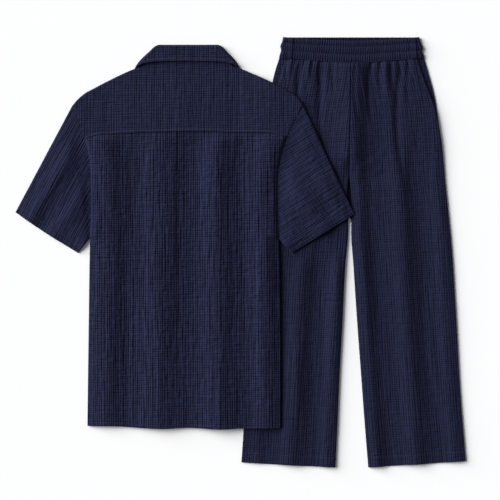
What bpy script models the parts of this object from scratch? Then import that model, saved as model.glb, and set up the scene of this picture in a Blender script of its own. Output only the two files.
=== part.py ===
"""A short-sleeved shirt and wide trousers in navy crinkled cloth, laid flat with the back side up.

The shirt lies partly over the trousers. Each garment is made of the panels that a maker cuts:
an outer wall of cloth lies on the surface, and another wall lies over it, and they meet at the
sides in folds. +Z is up from the surface, +Y runs towards the collar and the waistband.
"""

import bpy
import numpy as np

# Overall layout, in metres
LAYOUT_WIDTH = 1.008
LAYOUT_HEIGHT = 0.9625
SHIRT_HEM_DROP = 0.3913

# Cloth and seams
CLOTH = 0.0013
BAND_WALL = 0.0024
COLLAR_WALL = 0.0020
LEAF_WALL = 0.0015
POCKET_WALL = 0.0012
SEAM_GAP = 0.0003
SIDE_SEAM_HEIGHT = 0.0020
BAND_SEAM_HEIGHT = 0.0027
FOLD_RADIUS = 0.0045

# How high the upper walls lie, measured to their outer faces
BODY_LOFT = 0.0047
SLEEVE_LOFT = 0.0046
LEG_LOFT = 0.0050
HIP_LOFT = 0.0063
BAND_LOFT = 0.0054
POCKET_LOFT = 0.0029
ARMHOLE_LOFT = 0.0034
CENTRE_SEAM_LOFT = 0.0068
FALL_LOFT = 0.0078
STAND_LEVEL = 0.0037
STAND_TUCK = 0.004

# Folds, gathers and ridges in the upper walls, and where the body rises or sinks
FOLD_DEPTH = 0.0036
FOLD_TROUGH = 0.75
LEG_FOLD_SHARE = 0.8
SLEEVE_FOLD_SHARE = 0.5
SLEEVE_FOLDS_START = 0.3
FOLDS_TOP = 0.665
FOLDS_FADE = 0.03
COVERED_FOLD_SHARE = 0.2
COVER_END = -0.46
COVER_FADE = 0.06
HIP_FOLD_SHARE = 0.25
HIP_START = -0.34
HIP_FADE = 0.16
CENTRE_RIDGE = 0.0026
CENTRE_RIDGE_WIDTH = 0.020
CENTRE_RIDGE_FADE = 0.05
CENTRE_SEAM_FADE = 0.08
BACK_LIFT = 0.0038
BACK_LIFT_HALF = 0.055
BACK_LIFT_FADE = 0.100
BACK_LIFT_TOP = 0.715
BACK_LIFT_TOP_FADE = 0.075
CLOSURE_HALF = 0.022
CLOSURE_FADE = 0.050
FELLED_RIDGE = 0.0006
FELLED_SHARE = 0.94
NECK_DIP = 0.0014
NECK_DIP_START = 0.775
NECK_DIP_FADE = 0.03
GATHER_DEPTH = 0.0013
GATHER_FADE = 0.055
GATHERS_PER_PANEL = 7
RUCHES = 45
RUCHE_DEPTH = 0.0004
CHANNEL_SWELL = 0.0013
HEM_RIDGE = 0.0004
SHIRT_HEM_SHARE = 0.97
CUFF_HEM_SHARE = 0.93
LEG_HEM_BAND = 0.022

# How high the shirt rides where it crosses the trousers, and how long it takes to climb
LEVEL_OVER_LEG = 0.0068
LEVEL_OVER_HIP = 0.0085
LEVEL_HIP_START = -0.33
LEVEL_HIP_FADE = 0.12
CLIMB = 0.080
LEAF_MIDDLE = (0.008, 0.765)
LEAF_HALF = (0.128, 0.095)
LEAF_FADE = 0.045
LEAF_CLEARANCE = 0.0005

# The shirt's fronts overlap at the centre, over the buttons: share of the width each side
OVERLAP = 0.036
BUTTON_RADIUS = 0.0065
BUTTON_THICKNESS = 0.0020
BUTTON_COUNT = 5
BUTTON_PITCH = 0.128
LOWEST_BUTTON = 0.115

# Belt loops: name, middle and lean
LOOP_WIDTH = 0.011
BELT_LOOPS = (("belt_loop_left", -0.135, -0.08), ("belt_loop_right", 0.139, 0.08))

# Radii of the folds that are wider than the others
COLLAR_RADIUS = 0.007
BAND_RADIUS = 0.006
POCKET_RADIUS = 0.006

# Half the seam gap, taken from each of two pieces that meet
HALF_GAP = SEAM_GAP / 2
UPPER_SEAM = SIDE_SEAM_HEIGHT + HALF_GAP
LOWER_SEAM = SIDE_SEAM_HEIGHT - HALF_GAP

NAVY = (0.0155, 0.0175, 0.0400, 1.0)
BUTTON_NAVY = (0.0100, 0.0110, 0.0220, 1.0)

# A fold's section: distance in from the edge as a share of its radius, and height gained
FOLD = ((0.0, 0.0), (0.05, 0.38), (0.32, 0.80))

# Rows of the waistband: its lines of stitching are at these shares, with a swell between
STITCHING = (0.0, 0.27, 0.63, 1.0)
BAND_ROWS = (0.0, 0.135, 0.27, 0.45, 0.63, 0.815, 1.0)

# Shirt outlines from the centre of its hem: x and y in metres
SHIRT_LEFT = (
    (-0.250, 0.719), (-0.236, 0.691), (-0.222, 0.645), (-0.212, 0.603), (-0.208, 0.542),
    (-0.208, 0.482), (-0.210, 0.423), (-0.213, 0.240), (-0.215, 0.083), (-0.216, 0.003),
)
SHIRT_RIGHT = (
    (0.268, 0.719), (0.252, 0.694), (0.235, 0.657), (0.222, 0.620), (0.213, 0.576),
    (0.211, 0.508), (0.213, 0.421), (0.215, 0.240), (0.216, 0.083), (0.216, 0.003),
)
SHOULDER_LEFT = (
    (-0.250, 0.719), (-0.241, 0.730), (-0.223, 0.746), (-0.198, 0.760), (-0.155, 0.782),
    (-0.112, 0.801), (-0.097, 0.806),
)
SHOULDER_RIGHT = (
    (0.113, 0.806), (0.127, 0.802), (0.149, 0.793), (0.201, 0.769), (0.232, 0.752),
    (0.256, 0.735), (0.268, 0.719),
)
BACK_NECK = ((-0.085, 0.817), (-0.049, 0.825), (0.008, 0.828), (0.065, 0.825), (0.101, 0.817))
YOKE_SEAM = (
    (-0.231, 0.639), (-0.222, 0.643), (-0.197, 0.652), (-0.152, 0.656), (-0.070, 0.659),
    (0.015, 0.661), (0.105, 0.659), (0.190, 0.657), (0.217, 0.652), (0.240, 0.644),
)
SHIRT_HEM = (
    (-0.216, 0.003), (-0.148, 0.002), (-0.101, -0.001), (-0.041, -0.003), (0.0, -0.001),
    (0.081, -0.004), (0.134, -0.002), (0.216, -0.001),
)
# The front neckline, from the shoulder to past the centre: distance from the centre and y
NECK_CENTRE = 0.009
NECK_SIDE_FADE = 0.008
FRONT_NECK = ((0.097, 0.795), (0.079, 0.772), (0.044, 0.742), (0.0, 0.724), (-0.021, 0.714))

# Where the body's columns stand, as shares of its width, and its rows below the yoke seam,
# as the height at its left side and at its right side
BODY_COLUMNS = (
    0.0, 0.08, 0.16, 0.235, 0.295, 0.37, 0.44, 0.50, 0.56, 0.63, 0.70, 0.77, 0.85, 0.92, 1.0,
)
UNDERARM = (0.423, 0.421)
BODY_LEVELS = (
    (0.585, 0.590), (0.525, 0.530), (0.465, 0.465),
    (UNDERARM[0] + FOLD_RADIUS, UNDERARM[1] + FOLD_RADIUS), UNDERARM, (0.400, 0.400),
    (0.310, 0.310), (0.205, 0.205), (0.100, 0.100), (0.016, 0.012),
)
YOKE_SHARES = (0.0, 0.35, 0.70, 0.955, 1.0)
SLEEVE_SHARES = (0.0, 0.04, 0.14, 0.36, 0.62, 0.915, CUFF_HEM_SHARE, 1.0)

# Each sleeve's cuff, from inside to outside
SLEEVE_LEFT_CUFF = ((-0.237, 0.390), (-0.316, 0.439), (-0.377, 0.481))
SLEEVE_RIGHT_CUFF = ((0.241, 0.390), (0.316, 0.437), (0.381, 0.477))

# Collar: the fall lies over the back, and a leaf on each side lies under the fronts
FALL_TOP = 0.856
FALL_LEFT = ((-0.063, FALL_TOP), (-0.109, 0.806))
FALL_RIGHT = ((0.083, FALL_TOP), (0.125, 0.806))
FALL_CORNER = 0.0022
FALL_CORNER_WIDTH = 0.007
FALL_CORNER_START = 0.846
FALL_CORNER_FADE = 0.010
FALL_ROWS = (0.0, 0.3, 0.6, 0.86, 1.0)
STAND_TOP = 0.8495
STAND_INSET = 0.018
FALL_LIP = (
    (-0.109, 0.806), (-0.087, 0.814), (-0.054, 0.818), (0.008, 0.819), (0.063, 0.818),
    (0.103, 0.814), (0.125, 0.806),
)
LEAF_LEFT_OUTER = ((-0.066, 0.852), (-0.108, 0.807), (-0.119, 0.764), (-0.060, 0.672))
LEAF_LEFT_INNER = ((-0.056, 0.852), (-0.058, 0.809), (-0.043, 0.766), (-0.002, 0.724))
LEAF_RIGHT_OUTER = ((0.086, 0.852), (0.124, 0.807), (0.135, 0.764), (0.076, 0.672))
LEAF_RIGHT_INNER = ((0.076, 0.852), (0.074, 0.809), (0.059, 0.766), (0.018, 0.724))

# Trousers outlines from the middle of the waist: x and y in metres
TROUSERS_LEFT = (
    (-0.160, -0.041), (-0.169, -0.069), (-0.178, -0.112), (-0.190, -0.193), (-0.205, -0.311),
    (-0.216, -0.468), (-0.224, -0.612), (-0.234, -0.788), (-0.244, -0.944),
)
TROUSERS_RIGHT = (
    (0.165, -0.040), (0.174, -0.072), (0.185, -0.112), (0.199, -0.194), (0.214, -0.334),
    (0.227, -0.468), (0.236, -0.611), (0.246, -0.790), (0.258, -0.941),
)
BAND_LEFT = (
    (-0.151, 0.008), (-0.153, -0.002), (-0.157, -0.013), (-0.1555, -0.021), (-0.159, -0.034),
    (-0.160, -0.041),
)
BAND_RIGHT = (
    (0.154, 0.008), (0.157, -0.004), (0.162, -0.017), (0.1605, -0.024), (0.164, -0.034),
    (0.165, -0.040),
)
BAND_TOP = ((-0.151, 0.0075), (-0.075, 0.002), (0.0, -0.001), (0.077, 0.002), (0.155, 0.0075))
BAND_BOTTOM = (
    (-0.160, -0.040), (-0.128, -0.042), (-0.075, -0.046), (0.0, -0.051), (0.077, -0.047),
    (0.133, -0.042), (0.165, -0.039),
)
MOUTH_LEFT = ((-0.146, -0.043), (-0.162, -0.096), (-0.184, -0.159))
MOUTH_RIGHT = ((0.150, -0.042), (0.171, -0.101), (0.191, -0.155))
CENTRE_SEAM = ((0.0, -0.051), (0.0, -0.132), (-0.002, -0.222), (-0.003, -0.300), (-0.002, -0.396))
INSEAM_LEFT = (
    (-0.003, -0.300), (-0.006, -0.334), (-0.005, -0.396), (-0.006, -0.441), (-0.011, -0.495),
    (-0.018, -0.629), (-0.024, -0.737), (-0.030, -0.871), (-0.034, -0.955),
)
INSEAM_RIGHT = (
    (-0.003, -0.300), (0.001, -0.334), (0.002, -0.396), (0.002, -0.441), (0.006, -0.495),
    (0.015, -0.629), (0.023, -0.737), (0.033, -0.871), (0.040, -0.955),
)
LEG_HEM_LEFT = ((-0.244, -0.944), (-0.136, -0.950), (-0.034, -0.955))
LEG_HEM_RIGHT = ((0.040, -0.955), (0.133, -0.949), (0.258, -0.941))
BAND_SEAM_LEVEL = -0.049
LEG_HEM_LEVEL = -0.950
BACK_CROTCH = -0.300
FRONT_CROTCH = -0.396
POCKET_BOTTOM_LEFT = ((-0.191, -0.188), (-0.175, -0.226), (-0.140, -0.246), (-0.080, -0.248))
POCKET_BOTTOM_RIGHT = ((0.080, -0.248), (0.145, -0.246), (0.182, -0.226), (0.199, -0.188))
POCKET_INNER = 0.088
POCKET_SEAM_END = -0.190
POCKET_SEAM_FADE = 0.008
FRONT_CROTCH_FADE = 0.006

# Rows of a leg panel, as heights below the waist
LEG_LEVELS = (
    -0.058, -0.074, -0.100, -0.140, -0.185, -0.240, -0.294, -0.302, -0.350, -0.430, -0.530,
    -0.640, -0.750, -0.850, -0.929, -0.932,
)
UNDER_LEG_LEVELS = (-0.11, -0.19, -0.30, -0.385, -0.394, -0.398, -0.45, -0.56, -0.68, -0.82)

# Soft folds: where each lies across the panel, how wide it is and how high, as shares
BACK_FOLDS = ((0.09, 0.10, 1.0), (0.37, 0.11, 0.9), (0.68, 0.10, 1.0), (0.93, 0.08, 0.8))
LEG_FOLDS_LEFT = ((0.14, 0.10, 0.3), (0.53, 0.12, 1.0), (0.94, 0.09, 0.9))
LEG_FOLDS_RIGHT = ((0.07, 0.08, 0.9), (0.50, 0.12, 1.0), (0.92, 0.10, 0.7))
SLEEVE_FOLDS_LEFT = ((0.78, 0.10, 1.0), (0.40, 0.12, 0.7))
SLEEVE_FOLDS_RIGHT = ((0.55, 0.14, 0.8), (0.85, 0.08, 0.5))

# Where each garment's own zero stands in the layout
SHIRT_AT = (-LAYOUT_WIDTH / 2 + 0.377, -SHIRT_HEM_DROP)
TROUSERS_AT = (LAYOUT_WIDTH / 2 - 0.258, LAYOUT_HEIGHT / 2 - 0.0075)


def through(table):
    """A smooth curve through a table's points, as y worked out from x."""
    knots, values = np.array(sorted(table)).T
    slopes = np.gradient(values, knots)

    def at(x):
        i = np.clip(np.searchsorted(knots, x) - 1, 0, len(knots) - 2)
        step = knots[i + 1] - knots[i]
        t = np.clip((x - knots[i]) / step, 0, 1)
        rise = (1 + 2 * t) * (1 - t) ** 2 * values[i] + t * t * (3 - 2 * t) * values[i + 1]
        bend = t * (1 - t) ** 2 * slopes[i] + t * t * (t - 1) * slopes[i + 1]
        return rise + step * bend

    return at


def rail(table):
    """A side edge as x worked out from y."""
    return through([(y, x) for x, y in table])


def path(table):
    """A smooth curve through a table's points, as (x, y) worked out from its share of length."""
    points = np.array(table)
    lengths = np.hypot(*np.diff(points, axis=0).T)
    share = np.concatenate([[0], np.cumsum(lengths)]) / lengths.sum()
    x_at = through(list(zip(share, points[:, 0])))
    y_at = through(list(zip(share, points[:, 1])))
    return lambda s: (x_at(s), y_at(s))


def ease(t):
    """0 below 0 and 1 above 1, with a smooth climb between."""
    t = np.clip(t, 0, 1)
    return t * t * (3 - 2 * t)


def ridges(share, table):
    """Soft ridges across a panel, from below 0 in the troughs to more than 1 on the crests."""
    height = np.zeros_like(share)
    for middle, width, size in table:
        height = height + size * np.exp(-(((share - middle) / width) ** 2))
    return 2 * height - FOLD_TROUGH


def stations(shares, first=0.0, last=0.0, right_shares=None):
    """Columns or rows of a panel: share between its ends, metres in from an end, and rise.

    first and last are the radii of a fold at each end, or 0 where the cloth ends cut. Rows may
    have other shares at the right side of the panel.
    """
    right_shares = shares if right_shares is None else right_shares
    made = [(0.0, inset * first, rise, 0.0) for inset, rise in FOLD] if first else []
    made += [(s, first * (1 - s) - last * s, 1.0, r) for s, r in zip(shares, right_shares)]
    if last:
        made += [(1.0, -inset * last, rise, 1.0) for inset, rise in reversed(FOLD)]
    return np.array(made).T


def even(count):
    """Shares from 0 to 1 in equal steps."""
    return list(np.linspace(0, 1, count + 1))


def place(column, row, left, right, top, bottom):
    """The x and y of a panel's points between two sides, x of y, and two ends, y of x."""
    su, ou = column[0][None, :], column[1][None, :]
    sv, ov = row[0][:, None] * (1 - su) + row[3][:, None] * su, row[1][:, None]
    y = top(0.0) * (1 - sv) + bottom(0.0) * sv + 0 * su
    for _ in range(8):
        x = left(y) * (1 - su) + right(y) * su + ou
        y = top(x) * (1 - sv) + bottom(x) * sv - ov
    return x, y


def meeting(side, end):
    """The height where a side edge, x of y, meets an end, y of x."""
    y = end(side(0.6))
    for _ in range(8):
        y = end(side(y))
    return float(y)


def navy_material(name, colour, roughness):
    material = bpy.data.materials.get(name)
    if material is None:
        material = bpy.data.materials.new(name)
        material.use_nodes = True
        shader = material.node_tree.nodes["Principled BSDF"]
        shader.inputs["Base Color"].default_value = colour
        shader.inputs["Roughness"].default_value = roughness
        shader.inputs["Metallic"].default_value = 0.0
        material.diffuse_color = colour
    return material


def grid_object(name, x, y, z):
    """A sheet whose rows and columns of points stand at x, y and z, from a grid primitive."""
    rows, columns = x.shape
    bpy.ops.mesh.primitive_grid_add(x_subdivisions=columns - 1, y_subdivisions=rows - 1, size=1)
    sheet = bpy.context.object
    sheet.name = sheet.data.name = name
    points = np.stack([x, y, z], axis=-1)[::-1].reshape(-1, 3)
    sheet.data.vertices.foreach_set("co", points.ravel())
    return sheet


def along_edge(shift, edge):
    """The part of each point's sideways shift that runs along its edge."""
    tangent = np.diff(edge[:, :2], axis=0)
    tangent = np.vstack([tangent, tangent[-1:]])
    tangent = tangent / np.linalg.norm(tangent, axis=1, keepdims=True)
    return (shift * tangent).sum(axis=1, keepdims=True) * tangent


def tidy_folds(inner, rises):
    """Even out the inner face where the cloth folds over, along its sides and at its corners."""
    for axis, rise in enumerate(rises, start=1):
        across = np.swapaxes(inner, 0, axis % 2)
        for k in np.flatnonzero(rise == FOLD[1][1]):
            across[k] = (across[k - 1] + across[k + 1]) / 2
    if len(rises) == 2:
        for across, rise in ((inner, rises[0]), (inner[:, ::-1], rises[0][::-1])):
            if rise[0] < 1:
                block = across[:4, :4]
                block[:3, :3] = block[3:, :3] + block[:3, 3:] - block[3, 3]


def wall(
    name, garment, x, y, z, thickness, upper=True, cut="", rises=(), floor=-1, ceiling=1, relief=0
):
    """A wall of cloth whose outer face is the sheet x, y, z and whose thickness lies inside.

    cut names the ends whose rim stands square: t, b, l and r. rises are those of the columns
    and the rows, to find the folds. The inner face stays between floor and ceiling, and relief
    raises the outer face alone.
    """
    sheet = grid_object(name, x, y, z)
    if not upper:
        sheet.data.flip_normals()
    solidify = sheet.modifiers.new("Cloth", "SOLIDIFY")
    solidify.thickness = thickness
    solidify.offset = -1.0
    solidify.use_even_offset = False
    graph = bpy.context.evaluated_depsgraph_get()
    solid = bpy.data.meshes.new_from_object(sheet.evaluated_get(graph))
    sheet.modifiers.clear()
    sheet.data = solid
    solid.name = name
    points = np.empty(len(solid.vertices) * 3)
    solid.vertices.foreach_get("co", points)
    outer, inner = points.reshape(2, x.shape[0], x.shape[1], 3)[:, ::-1]
    ends = {"t": np.s_[0, :], "b": np.s_[-1, :], "l": np.s_[:, 0], "r": np.s_[:, -1]}
    for end in cut:
        line = ends[end]
        shift = along_edge((inner[line] - outer[line])[:, :2], outer[line])
        inner[line][:, :2] = outer[line][:, :2] + shift
    tidy_folds(inner, rises)
    inner[:, :, 2] = np.clip(inner[:, :, 2], floor, ceiling)
    outer[:, :, 2] += relief
    solid.vertices.foreach_set("co", points)
    solid.update()
    solid.materials.clear()
    solid.materials.append(navy_material("navy_cloth", NAVY, 0.9))
    solid.shade_smooth()
    solid.set_sharp_from_angle(angle=np.radians(40))
    sheet.parent = garment
    return sheet


def trousers_side(y):
    """The trousers' left side, as x of y from the middle of the waist."""
    return rail(BAND_LEFT[:-1] + TROUSERS_LEFT)(y)


def rest_height(x, y):
    """How high the shirt is held by what lies under it, at x and y from its own hem."""
    shift_x, shift_y = SHIRT_AT[0] - TROUSERS_AT[0], SHIRT_AT[1] - TROUSERS_AT[1]
    over = x + shift_x - trousers_side(y + shift_y)
    hip_share = ease((y + shift_y - LEVEL_HIP_START) / LEVEL_HIP_FADE)
    level = LEVEL_OVER_LEG + (LEVEL_OVER_HIP - LEVEL_OVER_LEG) * hip_share
    over_trousers = level * ease((over + CLIMB) / CLIMB)
    beside = np.maximum(np.abs(x - LEAF_MIDDLE[0]) - LEAF_HALF[0], 0)
    beyond = np.maximum(np.abs(y - LEAF_MIDDLE[1]) - LEAF_HALF[1], 0)
    nearness = 1 - ease(np.hypot(beside, beyond) / LEAF_FADE)
    over_leaf = (LEAF_WALL + LEAF_CLEARANCE) * nearness
    return over_trousers + over_leaf


def from_centre(x, y):
    """Distance from the line halfway between the shirt's two sides."""
    return np.abs(x - (rail(SHIRT_LEFT)(y) + rail(SHIRT_RIGHT)(y)) / 2)


def closure_lift(x, y, lift):
    """The rise of a front over the buttons and over the other front."""
    return lift * (1 - ease((from_centre(x, y) - CLOSURE_HALF) / CLOSURE_FADE))


def back_lift(x, y):
    """The rise of the back over the two fronts, wide and soft, gone before the neck."""
    wide = 1 - ease((from_centre(x, y) - BACK_LIFT_HALF) / BACK_LIFT_FADE)
    return BACK_LIFT * wide * (1 - ease((y - BACK_LIFT_TOP) / BACK_LIFT_TOP_FADE))


def body_rows(zone, top_fold=0.0):
    """Rows of the shirt's body in its yoke zone, above the seam, or in its back zone."""
    if zone == "yoke":
        return stations(YOKE_SHARES, top_fold, 0)
    shares = []
    for side, edge in enumerate((SHIRT_LEFT, SHIRT_RIGHT)):
        top = meeting(rail(edge), through(YOKE_SEAM))
        bottom = float(through(SHIRT_HEM)(edge[-1][0]))
        shares.append([0.0] + [(top - level[side]) / (top - bottom) for level in BODY_LEVELS] + [1.0])
    return stations(shares[0], right_shares=shares[1])


def body_place(column, row, top, bottom):
    left, right = rail(SHIRT_LEFT), rail(SHIRT_RIGHT)
    return place(
        column, row, lambda y: left(y) + HALF_GAP, lambda y: right(y) - HALF_GAP, top, bottom
    )


def over_underarm(column, y):
    """0 where the body's side is a side seam, and 1 where it is sewn to the sleeve."""
    underarm = np.where(column[0] < 0.5, UNDERARM[0], UNDERARM[1])[None, :]
    return ease((y - underarm) / FOLD_RADIUS)


def shirt_back(shirt):
    seam = through(YOKE_SEAM)
    column = stations(BODY_COLUMNS, FOLD_RADIUS, FOLD_RADIUS)
    row = body_rows("back")
    x, y = body_place(column, row, lambda x: seam(x) - HALF_GAP, through(SHIRT_HEM))
    rise = column[2][None, :] + 0 * y
    low = UPPER_SEAM + (ARMHOLE_LOFT - UPPER_SEAM) * over_underarm(column, y)
    waves = FOLD_DEPTH * ridges(column[0][None, :], BACK_FOLDS)
    waves = waves * ease((FOLDS_TOP - y) / FOLDS_FADE)
    hem_band = HEM_RIDGE * (row[0][:, None] > SHIRT_HEM_SHARE)
    high = BODY_LOFT + waves + back_lift(x, y) + hem_band
    base = rest_height(x, y)
    z = base + low + (high - low) * rise
    floor = np.where(rise < 1, base + low, -1)
    wall("shirt_back", shirt, x, y, z, CLOTH, cut="tb", rises=(column[2],), floor=floor)


def shirt_yoke(shirt):
    seam = through(YOKE_SEAM)
    column = stations(BODY_COLUMNS, FOLD_RADIUS, FOLD_RADIUS)
    row = body_rows("yoke", FOLD_RADIUS)
    top = through(SHOULDER_LEFT + BACK_NECK + SHOULDER_RIGHT)
    x, y = body_place(column, row, top, lambda x: seam(x) + HALF_GAP)
    rise = column[2][None, :] + 0 * y
    shoulder = row[2][:, None] + 0 * x
    felled = FELLED_RIDGE * (row[0][:, None] > FELLED_SHARE)
    neck_dip = NECK_DIP * ease((y - NECK_DIP_START) / NECK_DIP_FADE)
    high = BODY_LOFT + back_lift(x, y) + felled - neck_dip
    sewn = UPPER_SEAM + (ARMHOLE_LOFT - UPPER_SEAM) * shoulder
    base = rest_height(x, y)
    z = base + sewn + (UPPER_SEAM + (high - UPPER_SEAM) * shoulder - sewn) * rise
    rim = (rise < 1) | (shoulder < 1)
    floor = np.where(rim, base + np.where(shoulder < 1, UPPER_SEAM, sewn), -1)
    rises = column[2], row[2]
    wall("shirt_yoke", shirt, x, y, z, CLOTH, cut="b", rises=rises, floor=floor)


def shirt_front(shirt, side):
    """One front, which lies under the back: side is -1 for the left one and 1 for the right."""
    shoulder_table = (SHOULDER_LEFT, SHOULDER_RIGHT)[side > 0]
    neck = tuple((NECK_CENTRE + side * out, y) for out, y in FRONT_NECK)
    top = through(shoulder_table + neck)
    full = stations(sorted(BODY_COLUMNS + (0.5 - OVERLAP, 0.5 + OVERLAP)), FOLD_RADIUS, FOLD_RADIUS)
    column = full[:, (full[0] - 0.5) * side > -OVERLAP - 0.001]
    seam = through(YOKE_SEAM)
    upper_row, lower_row = body_rows("yoke", FOLD_RADIUS), body_rows("back")
    zones = (
        body_place(column, upper_row, top, seam),
        body_place(column, lower_row, seam, through(SHIRT_HEM)),
    )
    x, y = (np.vstack([upper[:-1], lower]) for upper, lower in zip(*zones))
    shoulder = np.concatenate([upper_row[2][:-1], np.ones(len(lower_row[2]))])[:, None]
    beside_neck = ease((np.abs(x - NECK_CENTRE) - FRONT_NECK[0][0]) / NECK_SIDE_FADE)
    shoulder_rise = 1 - (1 - shoulder) * beside_neck
    side_rise = 1 - (1 - column[2][None, :]) * (1 - over_underarm(column, y))
    rise = np.minimum(shoulder_rise, side_rise)
    lift = BUTTON_THICKNESS + SEAM_GAP + (CLOTH + 2 * SEAM_GAP) * (side > 0)
    base = rest_height(x, y)
    z = base + LOWER_SEAM * (1 - rise) + closure_lift(x, y, lift)
    ceiling = np.where(rise < 1, base + LOWER_SEAM, 1)
    name = ("shirt_front_left", "shirt_front_right")[side > 0]
    rises = column[2], upper_row[2]
    cut = "b" + ("r", "l")[side > 0]
    wall(name, shirt, x, y, z, CLOTH, upper=False, cut=cut, rises=rises, ceiling=ceiling)


def armhole_stations(side):
    """Heights up a sleeve's armhole from the underarm, at the body's own rows, and their rise."""
    column = stations([float(side > 0)])
    yoke_rows, seam = body_rows("yoke", FOLD_RADIUS), through(YOKE_SEAM)
    top = through(SHOULDER_LEFT + BACK_NECK + SHOULDER_RIGHT)
    yoke = body_place(column, yoke_rows, top, seam)[1][:-1, 0]
    back = body_place(column, body_rows("back"), seam, through(SHIRT_HEM))[1][:, 0]
    low = UNDERARM[side > 0]
    back = back[back > low + FOLD_RADIUS / 2]
    fold_heights = [low + inset * FOLD_RADIUS for inset, _ in FOLD]
    heights = np.concatenate([fold_heights, back[::-1], yoke[::-1]])
    rises = np.concatenate([[r for _, r in FOLD], np.ones(len(back)), yoke_rows[2][:-1][::-1]])
    return heights, rises


def sleeve(shirt, side):
    """A sleeve cut in one piece: it runs from the underarm seam over the arm and back below."""
    name = ("sleeve_left", "sleeve_right")[side > 0]
    body = rail((SHIRT_LEFT, SHIRT_RIGHT)[side > 0])
    cuff_table = (SLEEVE_LEFT_CUFF, SLEEVE_RIGHT_CUFF)[side > 0]
    folds = (SLEEVE_FOLDS_LEFT, SLEEVE_FOLDS_RIGHT)[side > 0]
    cuff = path(cuff_table)
    cuff_length = np.hypot(*np.diff(np.array(cuff_table), axis=0).T).sum()
    heights, rises = armhole_stations(side)
    inside = rises == 1
    share = np.clip((heights - heights[inside][0]) / np.ptp(heights[inside]), 0, 1)
    ends = np.array([inset for inset, _ in FOLD]) * FOLD_RADIUS
    inset = FOLD_RADIUS * (1 - 2 * share)
    inset[: len(ends)], inset[-len(ends):] = ends, -ends[::-1]
    cuff_share = share + inset / cuff_length
    rise, s_cuff, arm_y = (np.concatenate([a, a[::-1][1:]]) for a in (rises, cuff_share, heights))
    above = np.arange(len(rise)) < len(rises)
    v = np.array(SLEEVE_SHARES)[:, None]
    cuff_x, cuff_y = cuff(s_cuff)
    x = (body(arm_y) + side * HALF_GAP) * (1 - v) + cuff_x * v
    y = arm_y * (1 - v) + cuff_y * v
    waves = SLEEVE_FOLD_SHARE * FOLD_DEPTH * ridges(s_cuff, folds) * ease(v / SLEEVE_FOLDS_START)
    hem_band = HEM_RIDGE * (v >= CUFF_HEM_SHARE)
    armhole_rise = ease(v / SLEEVE_SHARES[2])
    high = ARMHOLE_LOFT + (SLEEVE_LOFT + waves - ARMHOLE_LOFT) * armhole_rise + hem_band
    middle = np.full(len(rise), SIDE_SEAM_HEIGHT)
    middle[0], middle[-1] = UPPER_SEAM, LOWER_SEAM
    base = rest_height(x, y)
    z = base + np.where(above, middle + (high - middle) * rise, middle * (1 - rise))
    order = np.arange(len(rise)) + 0 * x
    floor = np.where(order < len(FOLD), base + UPPER_SEAM, -1)
    ceiling = np.where(order >= len(rise) - len(FOLD), base + LOWER_SEAM, 1)
    if side < 0:
        x, y, z, floor, ceiling = (a[:, ::-1] for a in (x, y, z, floor, ceiling))
    wall(name, shirt, x, y, z, CLOTH, cut="tb", rises=(rise,), floor=floor, ceiling=ceiling)


def collar(shirt):
    left, right = rail(FALL_LEFT), rail(FALL_RIGHT)
    lip = through(FALL_LIP)
    column = stations(even(12), COLLAR_RADIUS, COLLAR_RADIUS)
    row = stations(FALL_ROWS, COLLAR_RADIUS, 0)
    x, y = place(column, row, left, right, lambda x: FALL_TOP + 0 * x, lip)
    nearer = np.minimum(np.abs(x - left(y)), np.abs(right(y) - x))
    corner = 1 - ease(nearer / FALL_CORNER_WIDTH)
    y = y - FALL_CORNER * corner * ease((y - FALL_CORNER_START) / FALL_CORNER_FADE)
    low = LEAF_WALL + SEAM_GAP
    high = FALL_LOFT + FELLED_RIDGE * ease(row[0][:, None])
    rise = np.minimum(column[2][None, :], row[2][:, None])
    z = low + (high - low) * rise
    rises = column[2], row[2]
    floor = np.where(rise < 1, low, -1)
    wall("collar_fall", shirt, x, y, z, COLLAR_WALL, cut="b", rises=rises, floor=floor)
    neck = through(SHOULDER_LEFT[-1:] + BACK_NECK + SHOULDER_RIGHT[:1])
    x, y = place(
        stations(even(8)), stations(even(2)), lambda y: left(y) + STAND_INSET,
        lambda y: right(y) - STAND_INSET, lambda x: STAND_TOP + 0 * x,
        lambda x: neck(x) - STAND_TUCK,
    )
    wall("collar_stand", shirt, x, y, STAND_LEVEL + 0 * x, CLOTH, cut="tblr")
    leaves = (
        ("collar_leaf_left", LEAF_LEFT_OUTER, LEAF_LEFT_INNER),
        ("collar_leaf_right", LEAF_RIGHT_INNER, LEAF_RIGHT_OUTER),
    )
    for name, first_table, second_table in leaves:
        first, second = path(first_table), path(second_table)
        v = np.linspace(0, 1, 9)[:, None]
        s = np.linspace(0, 1, 4)[None, :]
        (ax, ay), (bx, by) = first(v), second(v)
        x, y = ax * (1 - s) + bx * s, ay * (1 - s) + by * s
        wall(name, shirt, x, y, 0 * x, LEAF_WALL, upper=False)


def buttons(shirt):
    """Flat buttons on the closure, which faces the surface that the shirt lies on."""
    for k in range(BUTTON_COUNT):
        y = LOWEST_BUTTON + k * BUTTON_PITCH
        x = float(rail(SHIRT_LEFT)(y) + rail(SHIRT_RIGHT)(y)) / 2
        bpy.ops.mesh.primitive_cylinder_add(
            vertices=12, radius=BUTTON_RADIUS, depth=BUTTON_THICKNESS,
            location=(x, y, BUTTON_THICKNESS / 2),
        )
        button = bpy.context.object
        button.name = button.data.name = f"button_{k + 1}"
        button.data.materials.append(navy_material("button_navy", BUTTON_NAVY, 0.35))
        bevel = button.modifiers.new("Rim", "BEVEL")
        bevel.width, bevel.segments = 0.0004, 1
        button.parent = shirt


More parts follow.
